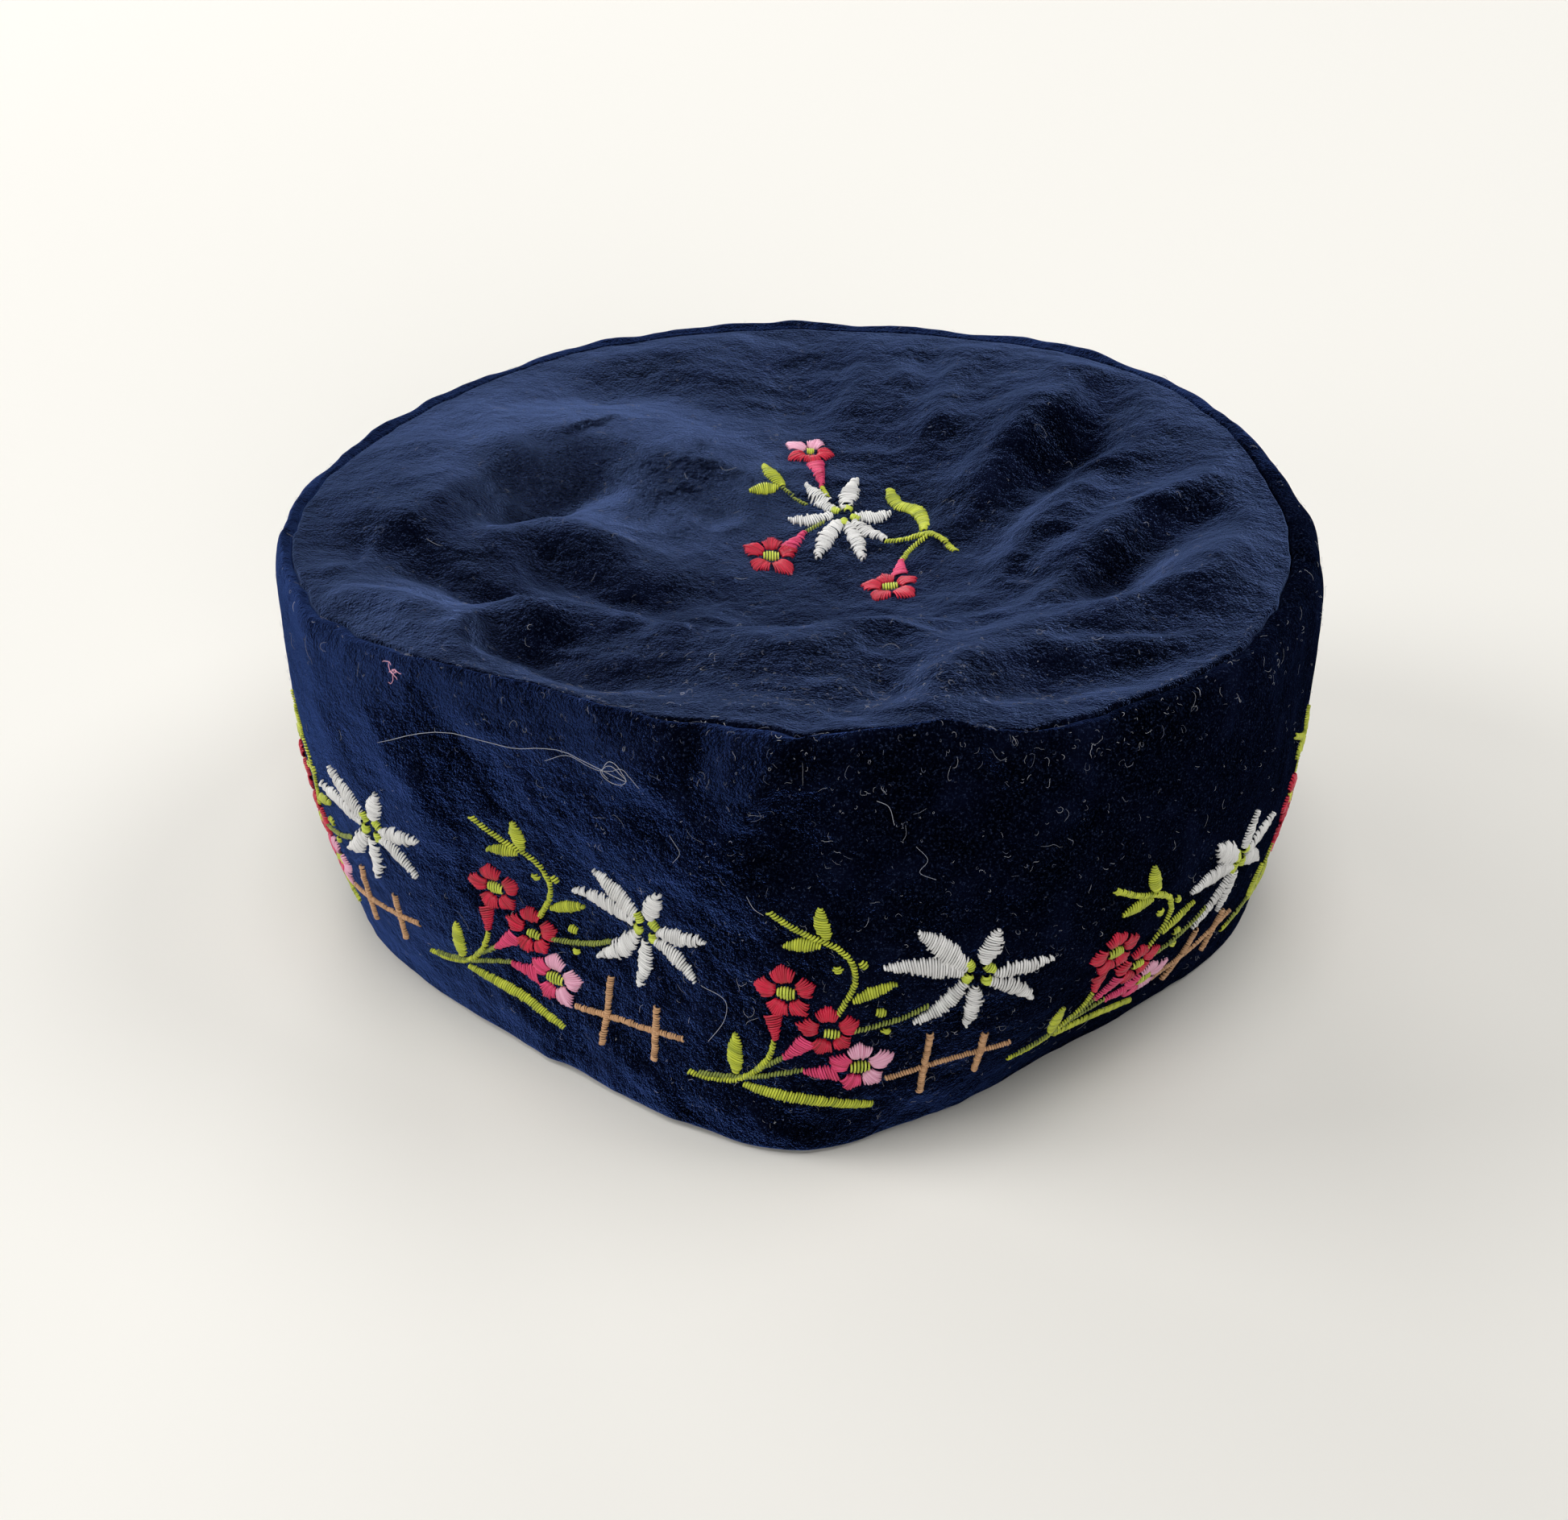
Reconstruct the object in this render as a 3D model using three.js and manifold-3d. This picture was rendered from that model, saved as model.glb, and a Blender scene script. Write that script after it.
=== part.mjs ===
// A brimless velvet cap with an embroidered side band and a soft crown that has sunk into a basin.
// Millimetres, +Z up, -Y the front. The cap stands on its hem at z = 0, and the origin is in the
// middle of its footprint. Angles are degrees round the cap from the front, towards +X.
import * as THREE from "three";
import { mergeVertices } from "three/addons/utils/BufferGeometryUtils.js";
import Module from "manifold-3d";

// The hem's outline: nearly round, a little square, and pinched to a point at the front
const RIM_RADIUS = 93;
const RIM_FLAT_BACK = 5;
const RIM_SQUARENESS = 3.2;
const RIM_BUMPS = [
  { at: 0, spread: 9, out: 3.2 },
  { at: 30, spread: 14, out: -2.2 },
  { at: -30, spread: 14, out: -2.2 },
  { at: -72, spread: 22, out: 4.6 },
  { at: 74, spread: 22, out: 7.9 },
];

// The seam between the band and the crown: a circle set a little to the back, dented at the front
const CROWN_RADIUS = 96;
const CROWN_SET_BACK = 5;
const SEAM_BUMPS = [
  { at: -30, spread: 23, out: -10.5 },
  { at: -8, spread: 9, out: -2.5 },
  { at: 8, spread: 20, out: -5 },
  { at: 25, spread: 6, out: 4 },
  { at: 45, spread: 22, out: 2 },
  { at: -82, spread: 25, out: 6 },
  { at: 80, spread: 25, out: 3.5 },
  { at: 124, spread: 26, out: 5.5 },
];
const SEAM_HEIGHT = 80;
const SEAM_LIFTS = [
  { at: -35, spread: 25, out: 1.5 },
  { at: 15, spread: 30, out: 4 },
  { at: 126, spread: 30, out: 2.5 },
];

// Between them the band leans out, bellies, and rolls over into the seam
const ROLL_HEIGHT = 9;
const OVERHANG = 5.5;
const OVERHANG_BUMPS = [
  { at: -85, spread: 40, out: -1.5 },
  { at: 85, spread: 40, out: 2 },
  { at: 0, spread: 40, out: -2 },
  { at: -8, spread: 9, out: 2 },
  { at: 8, spread: 20, out: 2.5 },
  { at: 25, spread: 6, out: -2 },
];
const BELLY = 1.5;
const BELLY_BUMPS = [
  { at: -25, spread: 25, out: -4 },
  { at: 25, spread: 35, out: 4.5 },
];

// How far the roll puffs up just outside the seam, where it hides the seam from the front, and how
// much nearer to the seam than to the widest ring the puff lies
const CREST_LEAN = 1.7;
const CREST_RISE = 1;
const CREST_BUMPS = [
  { at: -33, spread: 19, out: 2.6 },
  { at: -6, spread: 8, out: 1.2 },
  { at: 16, spread: 8, out: 2.2 },
  { at: 36, spread: 9, out: -0.6 },
];

// The basin that the soft crown sags into, the puff beside its seam (at a share of the way from
// the middle), and how suddenly the sag starts there. Its main folds are each a bend through three
// points, how high it stands (or how deep it lies, if negative), and how far it spreads to the left
// and to the right of its path.
const BASIN_DEPTH = 15;
const BASIN_RADIUS = 58;
const BASIN_CENTRE = [-4, -8];
const EDGE_PUFF = 1.5;
const PUFF_AT = 0.92;
const PUFF_SPREAD = 0.06;
const SAG_STARTS = 8;
const FOLDS = [
  { path: [[-94, -42], [-72, -35], [-56, -46]], rise: 5, left: 7, right: 11 },
  { path: [[-58, -42], [-42, -22], [-26, -42]], rise: 4.5, left: 7, right: 10 },
  { path: [[-40, -37], [-4, -54], [32, -38]], rise: 6.5, left: 8, right: 17 },
  { path: [[-60, -46], [-44, -52], [-25, -65]], rise: -5, left: 7, right: 7 },
  { path: [[18, -74], [52, -40], [96, -8]], rise: 6.5, left: 8, right: 8 },
  { path: [[40, -72], [64, -62], [82, -44]], rise: -3.5, left: 7, right: 7 },
  { path: [[-100, -9], [-84, -17], [-64, -20]], rise: -4.5, left: 8, right: 7 },
  { path: [[-58, -9], [-42, -12], [-20, -8]], rise: -4, left: 8, right: 9 },
  { path: [[-72, -4], [-54, 12], [-34, -1]], rise: 3.5, left: 7, right: 8 },
  { path: [[-84, -14], [-74, 14], [-53, 35]], rise: 4.5, left: 13, right: 7 },
  { path: [[-74, 34], [-48, 57], [-22, 41]], rise: 5, left: 13, right: 7 },
  { path: [[40, 20], [52, 48], [82, 76]], rise: 4.5, left: 9, right: 7 },
  { path: [[54, 16], [70, 40], [70, 68]], rise: -5, left: 8, right: 9 },
  { path: [[40, -18], [60, 2], [80, 38]], rise: 4, left: 7, right: 7 },
  { path: [[47, -30], [64, -10], [94, 22]], rise: 4.5, left: 7, right: 8 },
  { path: [[58, -30], [72, -8], [96, 6]], rise: -5, left: 8, right: 8 },
];

// Cloth thicknesses and the clearance kept between neighbouring layers
const VELVET = 1;
const INTERLINING = 0.8;
const LINING = 0.4;
const SWEATBAND = 0.5;
const LAYER_GAP = 0.3;

// Widths along the band
const HEM_TURN_UP = 14;
const SEAM_ALLOWANCE = 8;
const INTERLINING_EDGE = 1.4;
const INTERLINING_BELOW_ROLL = 5;
const LINING_BOTTOM = 6;
const LINING_BELOW_ROLL = 1.5;
const SWEATBAND_BOTTOM = 2;
const SWEATBAND_WIDTH = 30;

// Embroidery: one repeat of the meadow pattern along the band, and one posy on the crown
const REPEAT_LENGTH = 62;
const PATTERN_START = -21;
const STITCH_LIFT = 0.5;
const POSY_LIFT = 0.9;
const STITCH_THICKNESS = 0.6;
const BLOSSOM_LIFT = STITCH_LIFT + STITCH_THICKNESS + LAYER_GAP;
const STEM_WIDTH = 1.1;
const LEAF_WIDTH = 3.6;
const NARROW_LEAF_WIDTH = 2.8;
const LONG_LEAF_WIDTH = 2.4;
const RAIL_WIDTH = 1.1;
const PETAL_RADIUS = 5.6;
const TUBE_WIDTH = 4.2;
const EDELWEISS_PETAL = 4.6;
const EDELWEISS_EYE = 3.2;
const POSY_STEM_WIDTH = 0.9;
const POSY_LEAF_WIDTH = 3.4;
const POSY_PETAL_RADIUS = 4.4;
const POSY_TUBE_WIDTH = 3.2;
const POSY_EDELWEISS_PETAL = 3.6;
const POSY_EDELWEISS_EYE = 2.4;

// How finely the curved forms are cut
const FRONT_HALF_ANGLE = 45;
const FRONT_STEP = 5;
const REST_STEP = 7.5;
const WIDEST = 0.86;
const WALL_STEPS = [0, 0.16, 0.36, 0.6, WIDEST];
const ROLL_STEPS = [0.4, 0.75, 1];
const CROWN_RINGS = [0.14, 0.28, 0.4, 0.5, 0.6, 0.69, 0.78, 0.86, 0.93];
const LINING_RINGS = [0.25, 0.5, 0.72, 0.9];
const FOLD_STEPS = 10;
const CLIMB_STEPS = 24;
const LONGEST_EDGE = 16;
const REFERENCE_LEVEL = 0.34;

const wasm = await Module();
wasm.setup();

const radians = THREE.MathUtils.degToRad;

// Sum of smooth bumps round the cap at an angle in degrees
function bumps(angle, rows) {
  return rows.reduce((sum, { at, spread, out }) => {
    const away = THREE.MathUtils.euclideanModulo(angle - at + 180, 360) - 180;
    return sum + out * Math.exp(-((away / spread) ** 2));
  }, 0);
}

function rimRadius(angle) {
  const a = radians(angle);
  const plain = RIM_RADIUS - (RIM_FLAT_BACK * (1 - Math.cos(a))) / 2;
  return plain + RIM_SQUARENESS * Math.cos(4 * a) + bumps(angle, RIM_BUMPS);
}

function seamRadius(angle) {
  const forward = -Math.cos(radians(angle)) * CROWN_SET_BACK;
  const circle = Math.sqrt(forward ** 2 - CROWN_SET_BACK ** 2 + CROWN_RADIUS ** 2);
  return forward + circle + bumps(angle, SEAM_BUMPS);
}

const seamHeight = (angle) => SEAM_HEIGHT + bumps(angle, SEAM_LIFTS);
const overhang = (angle) => OVERHANG + bumps(angle, OVERHANG_BUMPS);
const belly = (angle) => BELLY + bumps(angle, BELLY_BUMPS);
const crest = (angle) => CREST_RISE + bumps(angle, CREST_BUMPS);

function polar(angle, radius, z) {
  const a = radians(angle);
  return new THREE.Vector3(radius * Math.sin(a), -radius * Math.cos(a), z);
}

// The velvet's outer face below the roll: level 0 is the hem, WIDEST is the widest ring
function wall(angle, level) {
  const up = level / WIDEST;
  const low = rimRadius(angle);
  const high = seamRadius(angle) + overhang(angle);
  const lean = (high - low) * Math.sin((up * Math.PI) / 2);
  const radius = low + lean + belly(angle) * Math.sin(up * Math.PI);
  return polar(angle, radius, (seamHeight(angle) - ROLL_HEIGHT) * up);
}

// The level at which the wall reaches a height
function levelAt(angle, z) {
  return (WIDEST * z) / (seamHeight(angle) - ROLL_HEIGHT);
}

// Outward direction in plan at a level
function planNormal(angle, level) {
  const along = wall(angle + 0.5, level).sub(wall(angle - 0.5, level));
  return new THREE.Vector3(along.y, -along.x, 0).normalize();
}

// A point of the wall, moved inwards in plan by a depth. Between the levels at which the wall is
// cut it lies on a straight line, so that every layer has the same facets.
function inside(angle, level, depth) {
  const moved = (at) => wall(angle, at).addScaledVector(planNormal(angle, at), -depth);
  const upper = WALL_STEPS.findIndex((step) => step >= level - 1e-9);
  if (upper < 1) return moved(level);
  const [low, high] = [WALL_STEPS[upper - 1], WALL_STEPS[upper]];
  return moved(low).lerp(moved(high), (level - low) / (high - low));
}

// A point set in from the widest ring, at a height of its own
function setIn(angle, depth, z) {
  return inside(angle, WIDEST, depth).setZ(z);
}

// The roll over the top of the band: turn 0 is the widest ring and 1 is the seam
function roll(angle, turn, depth, reach, height) {
  const q = (turn * Math.PI) / 2;
  const puff = crest(angle) * Math.sin(Math.PI * turn ** CREST_LEAN) ** 1.5;
  const z = seamHeight(angle) - ROLL_HEIGHT + height * Math.sin(q) + puff;
  return setIn(angle, depth + reach * (1 - Math.cos(q)), z);
}

// Folds of the crown at a place in plan
const foldLines = FOLDS.map(({ path, ...fold }) => {
  const [from, bend, to] = path.map(([x, y]) => new THREE.Vector2(x, y));
  const curve = new THREE.QuadraticBezierCurve(from, bend, to);
  return { points: curve.getPoints(FOLD_STEPS), ...fold };
});

// How far a place lies from a fold's path, as a share of the fold's spread on that side
function shareOfSpread(place, { points, left, right }) {
  const nearest = { away: Infinity, spread: left };
  points.slice(1).forEach((to, i) => {
    const from = points[i];
    const step = to.clone().sub(from);
    const offset = new THREE.Vector2(place.x, place.y).sub(from);
    const reached = THREE.MathUtils.clamp(offset.dot(step) / step.lengthSq(), 0, 1);
    const away = offset.distanceTo(step.clone().multiplyScalar(reached));
    if (away >= nearest.away) return;
    nearest.away = away;
    nearest.spread = step.cross(offset) > 0 ? left : right;
  });
  return nearest.away / nearest.spread;
}

function folds(place) {
  return foldLines.reduce((sum, fold) => {
    return sum + fold.rise * Math.exp(-(shareOfSpread(place, fold) ** 2));
  }, 0);
}

// How freely the crown moves: 1 in the middle, and 0 where the seam holds it
const looseness = (share) => 1 - share ** SAG_STARTS;

// The crown's height before its folds: share 0 is the middle and 1 is the seam
function basin(place, share, angle) {
  const dx = (place.x - BASIN_CENTRE[0]) / BASIN_RADIUS;
  const dy = (place.y - BASIN_CENTRE[1]) / BASIN_RADIUS;
  const level = SEAM_HEIGHT + bumps(angle, SEAM_LIFTS) * share ** 2;
  const sag = BASIN_DEPTH * Math.exp(-dx * dx - dy * dy);
  const puff = EDGE_PUFF * Math.exp(-(((share - PUFF_AT) / PUFF_SPREAD) ** 2));
  return level + (puff - sag) * looseness(share);
}

const crownMiddle = new THREE.Vector3(0, CROWN_SET_BACK, 0);

function crownEdge(angle) {
  return setIn(angle, overhang(angle) + LAYER_GAP / 2, seamHeight(angle));
}

// The crown's upper face at a share of the way from its middle to the seam
function crown(angle, share) {
  const edge = crownEdge(angle);
  const place = crownMiddle.clone().lerp(edge, share);
  const fold = folds(place) * looseness(share);
  return place.setZ(basin(place, share, angle) + fold);
}

// Angles at which every ring is cut, closer together at the front crease
function cutAngles() {
  const front = Math.round((2 * FRONT_HALF_ANGLE) / FRONT_STEP);
  const rest = Math.round((360 - 2 * FRONT_HALF_ANGLE) / REST_STEP);
  const angles = [];
  for (let i = 0; i < front; i++) {
    angles.push(-FRONT_HALF_ANGLE + i * FRONT_STEP);
  }
  for (let i = 0; i < rest; i++) {
    angles.push(FRONT_HALF_ANGLE + i * REST_STEP);
  }
  return angles;
}

const ANGLES = cutAngles();

// A closed geometry from triangle corners, turned so that its faces point out
function closed(corners) {
  const volume = corners.reduce((sum, a, i) => {
    if (i % 3) return sum;
    return sum + a.dot(corners[i + 1].clone().cross(corners[i + 2]));
  }, 0);
  const outward = volume < 0 ? corners.slice().reverse() : corners;
  return mergeVertices(new THREE.BufferGeometry().setFromPoints(outward), 1e-4);
}

// Carries a section round the cap. A ring's section is a closed loop; a disc's section starts and
// ends on the middle, where all its copies meet. Each four-cornered patch is halved from its low
// corner on one section to its high corner on the next, so that stacked layers crease alike.
function sweep(section, isDisc) {
  const rows = ANGLES.map(section);
  const size = rows[0].length;
  const corners = [];
  const facet = (a, b, c) => {
    const isFlat = a.equals(b) || b.equals(c) || c.equals(a);
    if (!isFlat) corners.push(a, b, c);
  };
  rows.forEach((row, i) => {
    const next = rows[(i + 1) % rows.length];
    for (let j = 0; j < (isDisc ? size - 1 : size); j++) {
      const k = (j + 1) % size;
      if (row[j].z < row[k].z) {
        facet(row[j], next[j], next[k]);
        facet(row[j], next[k], row[k]);
      } else {
        facet(row[j], next[j], row[k]);
        facet(next[j], next[k], row[k]);
      }
    }
  });
  return closed(corners);
}

// Depths of the layers behind the velvet's face
const interliningDepth = VELVET + LAYER_GAP;
const hemDepth = interliningDepth + INTERLINING + LAYER_GAP;
const liningDepth = hemDepth + VELVET + LAYER_GAP;
const sweatbandDepth = liningDepth + LINING + LAYER_GAP;

// Heights at which the layers behind the velvet end
const interliningTop = SEAM_HEIGHT - ROLL_HEIGHT - INTERLINING_BELOW_ROLL;
const liningTop = SEAM_HEIGHT - Math.max(ROLL_HEIGHT, SEAM_ALLOWANCE) - LINING_BELOW_ROLL;
const sweatbandTop = SWEATBAND_BOTTOM + SWEATBAND_WIDTH;

// The band: outer leaf, a hem turned up inside it, and the seam allowance turned down at the top
function sideBand() {
  return sweep((angle) => {
    const top = seamHeight(angle);
    const width = overhang(angle) - LAYER_GAP / 2;
    const leaf = WALL_STEPS.map((level) => inside(angle, level, 0));
    const over = ROLL_STEPS.map((turn) => roll(angle, turn, 0, width, ROLL_HEIGHT));
    const under = ROLL_STEPS.map((turn) =>
      roll(angle, turn, VELVET, width - 2 * VELVET, ROLL_HEIGHT - VELVET),
    );
    const back = WALL_STEPS.map((level) => inside(angle, level, VELVET));
    const fold = levelAt(angle, VELVET);
    const turnUp = levelAt(angle, HEM_TURN_UP);
    back[0] = inside(angle, fold, VELVET);
    return [
      ...leaf,
      ...over,
      setIn(angle, width, top - SEAM_ALLOWANCE),
      setIn(angle, width - VELVET, top - SEAM_ALLOWANCE),
      ...under.reverse(),
      ...back.reverse(),
      inside(angle, fold, hemDepth),
      inside(angle, turnUp, hemDepth),
      inside(angle, turnUp, hemDepth + VELVET),
      inside(angle, 0, hemDepth + VELVET),
    ];
  });
}

// A plain strip of cloth behind the velvet, between two heights
function innerStrip(depth, thickness, bottom, top) {
  return sweep((angle) => {
    const [low, high] = [levelAt(angle, bottom), levelAt(angle, top)];
    const between = WALL_STEPS.filter((level, i) => i && level < WIDEST);
    const cuts = between.map((level) => THREE.MathUtils.clamp(level, low, high));
    const levels = [low, ...cuts, high];
    const outer = levels.map((level) => inside(angle, level, depth));
    const inner = levels.map((level) => inside(angle, level, depth + thickness));
    return [...outer, ...inner.reverse()];
  });
}

// The crown: a sagging disc whose edge is turned down beside the band's allowance
function crownTop() {
  const middle = crown(0, 0);
  return sweep((angle) => {
    const top = seamHeight(angle);
    const edgeDepth = overhang(angle) + LAYER_GAP / 2;
    const upper = CROWN_RINGS.map((share) => crown(angle, share));
    const lower = upper.map((p) => p.clone().setZ(p.z - VELVET));
    return [
      middle,
      ...upper,
      crownEdge(angle),
      setIn(angle, edgeDepth, top - SEAM_ALLOWANCE),
      setIn(angle, edgeDepth + VELVET, top - SEAM_ALLOWANCE),
      setIn(angle, edgeDepth + VELVET, top - VELVET),
      ...lower.reverse(),
      middle.clone().setZ(middle.z - VELVET),
    ];
  }, true);
}

// The crown's lining hangs below the velvet and rests its edge on the band's lining
function crownLining() {
  const hang = (angle, share) => {
    const edge = inside(angle, levelAt(angle, liningTop), liningDepth);
    const place = crownMiddle.clone().lerp(edge, share);
    const sag = basin(place, share, angle) - seamHeight(angle);
    return place.setZ(liningTop + LAYER_GAP + LINING + (share < 1 ? sag : 0));
  };
  const middle = hang(0, 0);
  return sweep((angle) => {
    const upper = [...LINING_RINGS, 1].map((share) => hang(angle, share));
    const lower = upper.map((p) => p.clone().setZ(p.z - LINING));
    return [middle, ...upper, ...lower.reverse(), middle.clone().setZ(middle.z - LINING)];
  }, true);
}

// Lengths round the band at the reference level, for placing the pattern
const bandLengths = [0];
for (let angle = -179; angle <= 180; angle++) {
  const step = wall(angle, REFERENCE_LEVEL).distanceTo(wall(angle - 1, REFERENCE_LEVEL));
  bandLengths.push(bandLengths.at(-1) + step);
}
const BAND_LENGTH = bandLengths.at(-1);

function angleAt(u) {
  const length = THREE.MathUtils.euclideanModulo(u + bandLengths[180], BAND_LENGTH);
  const next = bandLengths.findIndex((l) => l > length);
  const share = (length - bandLengths[next - 1]) / (bandLengths[next] - bandLengths[next - 1]);
  return next - 1 + share - 180;
}

// The level that lies v millimetres above the hem, measured along the velvet
function levelAlong(angle, v) {
  const rise = WIDEST / CLIMB_STEPS;
  let climbed = 0;
  for (let i = 0; i < CLIMB_STEPS; i++) {
    const step = wall(angle, i * rise).distanceTo(wall(angle, (i + 1) * rise));
    if (climbed + step >= v) return (i + (v - climbed) / step) * rise;
    climbed += step;
  }
  return WIDEST;
}

// Bends flat embroidery onto the band: u runs round it, v up it, and h stands off the velvet
function onBand({ x: u, y: v, z: h }) {
  const angle = angleAt(u);
  const level = levelAlong(angle, v);
  const round = wall(angle + 0.5, level).sub(wall(angle - 0.5, level));
  const rise = wall(angle, level + 0.01).sub(wall(angle, level - 0.01));
  return wall(angle, level).addScaledVector(round.cross(rise).normalize(), h);
}

// Bends flat embroidery onto the crown, whose plan is kept
function onCrown({ x, y, z: h }) {
  const height = (px, py) => {
    const angle = THREE.MathUtils.radToDeg(Math.atan2(px, -(py - CROWN_SET_BACK)));
    const reach = Math.hypot(px, py - CROWN_SET_BACK);
    const place = new THREE.Vector3(px, py, 0);
    const share = reach / CROWN_RADIUS;
    return basin(place, share, angle) + folds(place);
  };
  const slopeX = (height(x + 0.5, y) - height(x - 0.5, y)) * h;
  const slopeY = (height(x, y + 0.5) - height(x, y - 0.5)) * h;
  return new THREE.Vector3(x - slopeX, y - slopeY, height(x, y) + h);
}

const flat = ([x, y]) => new THREE.Vector2(x, y);

// A leaf with a blunt base, its widest place just below the middle, and a pointed tip
function blade(base, tip, width) {
  const [from, to] = [flat(base), flat(tip)];
  const along = to.clone().sub(from);
  const side = new THREE.Vector2(-along.y, along.x).normalize().multiplyScalar(width / 2);
  const at = (share, out) =>
    from.clone().addScaledVector(along, share).addScaledVector(side, out);
  return new THREE.Shape([at(0, -0.3), at(0.45, -1), to, at(0.45, 1), at(0, 0.3)]);
}

// A stem of even width along a smooth line through points
function ribbon(points, width, steps) {
  const curve = new THREE.SplineCurve(points.map(flat));
  const middle = curve.getPoints(steps);
  const side = (sign) =>
    middle.map((p, i) => {
      const ahead = middle[Math.min(i + 1, steps)].clone().sub(middle[Math.max(i - 1, 0)]);
      const out = new THREE.Vector2(-ahead.y, ahead.x).normalize();
      return p.clone().addScaledVector(out, (sign * width) / 2);
    });
  return new THREE.Shape([...side(-1), ...side(1).reverse()]);
}

// A star of pointed petals round an eye, in the order that their tips go round. Each petal is
// widest just past its middle.
function star(centre, tips, eye, width) {
  const middle = flat(centre);
  const points = [];
  tips.map(flat).forEach((tip, i) => {
    const before = flat(tips.at(i - 1)).sub(middle).normalize();
    const along = tip.clone().sub(middle);
    const between = before.add(along.clone().normalize()).normalize();
    const side = new THREE.Vector2(-along.y, along.x).normalize().multiplyScalar(width / 2);
    const shoulder = middle.clone().addScaledVector(along, 0.52);
    points.push(middle.clone().addScaledVector(between, eye));
    points.push(shoulder.clone().sub(side), tip, shoulder.clone().add(side));
  });
  return new THREE.Shape(points);
}

// A blossom of five square-ended petals, with a notch between each two
function blossom(centre, radius, turn) {
  const corners = [[-36, radius / 2], [-17, radius], [17, radius]];
  const points = [];
  for (let petal = 0; petal < 5; petal++) {
    for (const [away, reach] of corners) {
      const a = radians(turn + petal * 72 + away);
      const out = new THREE.Vector2(Math.cos(a), Math.sin(a)).multiplyScalar(reach);
      points.push(flat(centre).add(out));
    }
  }
  return new THREE.Shape(points);
}

// A blossom's tube, which tapers from the blossom to the end of its stem
function tube(centre, end, width) {
  const [from, to] = [flat(centre), flat(end)];
  const along = to.clone().sub(from).normalize();
  const side = new THREE.Vector2(-along.y, along.x).multiplyScalar(width / 2);
  const point = side.clone().multiplyScalar(0.35);
  return new THREE.Shape([
    from.clone().sub(side),
    to.clone().sub(point),
    to.clone().add(point),
    from.clone().add(side),
  ]);
}

function solidOf(geometry) {
  const bare = new THREE.BufferGeometry();
  bare.setAttribute("position", geometry.getAttribute("position"));
  if (geometry.index) bare.setIndex(geometry.index);
  const merged = mergeVertices(bare, 1e-4);
  return new wasm.Manifold(
    new wasm.Mesh({
      numProp: 3,
      vertProperties: new Float32Array(merged.getAttribute("position").array),
      triVerts: new Uint32Array(merged.index.array),
    }),
  );
}

// Joins flat shapes into one pad of stitches that stands between lift and lift + thickness
function stitches(shapes, lift) {
  const pads = shapes.map((shape) => {
    const pad = new THREE.ExtrudeGeometry(shape, {
      depth: STITCH_THICKNESS,
      bevelEnabled: false,
    });
    return solidOf(pad.translate(0, 0, lift));
  });
  return pads.reduce((whole, pad) => whole.add(pad));
}

// Halves every edge that is longer than LONGEST_EDGE, on both of its triangles alike
function splitLongEdges(points, faces) {
  const middles = new Map();
  const middle = (a, b) => {
    if (points[a].distanceTo(points[b]) <= LONGEST_EDGE) return -1;
    const key = `${Math.min(a, b)} ${Math.max(a, b)}`;
    if (!middles.has(key)) {
      middles.set(key, points.push(points[a].clone().lerp(points[b], 0.5)) - 1);
    }
    return middles.get(key);
  };
  return faces.flatMap((corners) => {
    const outline = corners.flatMap((a, i) => {
      const halfway = middle(a, corners[(i + 1) % 3]);
      return halfway < 0 ? [a] : [a, halfway];
    });
    if (outline.length === 3) return [corners];
    const first = outline.findIndex((p) => !corners.includes(p));
    const fan = [...outline.slice(first), ...outline.slice(0, first)];
    return fan.slice(2).map((p, i) => [fan[0], fan[i + 1], p]);
  });
}

// Bends a flat pad of stitches onto the cloth
function bend(pad, place) {
  const mesh = pad.getMesh();
  const points = [];
  for (let i = 0; i < mesh.numVert; i++) {
    points.push(new THREE.Vector3().fromArray(mesh.vertProperties, i * mesh.numProp));
  }
  let faces = [];
  for (let i = 0; i < mesh.triVerts.length; i += 3) {
    faces.push([...mesh.triVerts.slice(i, i + 3)]);
  }
  let before = 0;
  while (faces.length > before) {
    before = faces.length;
    faces = splitLongEdges(points, faces);
  }
  const placed = points.map(place);
  return closed(faces.flat().map((i) => placed[i]));
}

// One repeat of the meadow pattern, flat: x from the start of its stem, y from the hem. Its last
// petal reaches past the start of the next repeat.
const LAST_PETAL_REACH = 3.8;
const EDELWEISS_CENTRE = [53.1, 39.6];
const EDELWEISS_TIPS = [
  [66.6, 42.4],
  [56.8, 49.8],
  [42.2, 49.6],
  [36.6, 41.9],
  [42.2, 29],
  [51.8, 26.6],
  [64.4, 31.8],
];

function sprayShapes() {
  return [
    ribbon([[0, 12.6], [9.7, 14.1], [14, 14.3]], STEM_WIDTH, 2),
    ribbon([[10.9, 14.2], [23.8, 13.8], [35.2, 9.8]], LONG_LEAF_WIDTH, 3),
    blade([9.2, 15.2], [9.9, 24.6], LEAF_WIDTH),
    ribbon([[8.8, 14.2], [14.4, 19.6], [17.4, 26.5]], STEM_WIDTH, 2),
    ribbon([[13.1, 17.2], [22, 23], [31, 27.4], [40.2, 30.6]], STEM_WIDTH, 3),
    ribbon([[25.5, 24.6], [31, 36], [31.3, 41.7], [25.8, 47.1], [16, 52.3]], STEM_WIDTH, 6),
    blade([26.7, 46.6], [25, 53.8], LEAF_WIDTH),
    blade([25.8, 47.1], [19.2, 44.6], NARROW_LEAF_WIDTH),
    blade([30.3, 35.2], [38.4, 37.6], LEAF_WIDTH),
  ];
}

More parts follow.
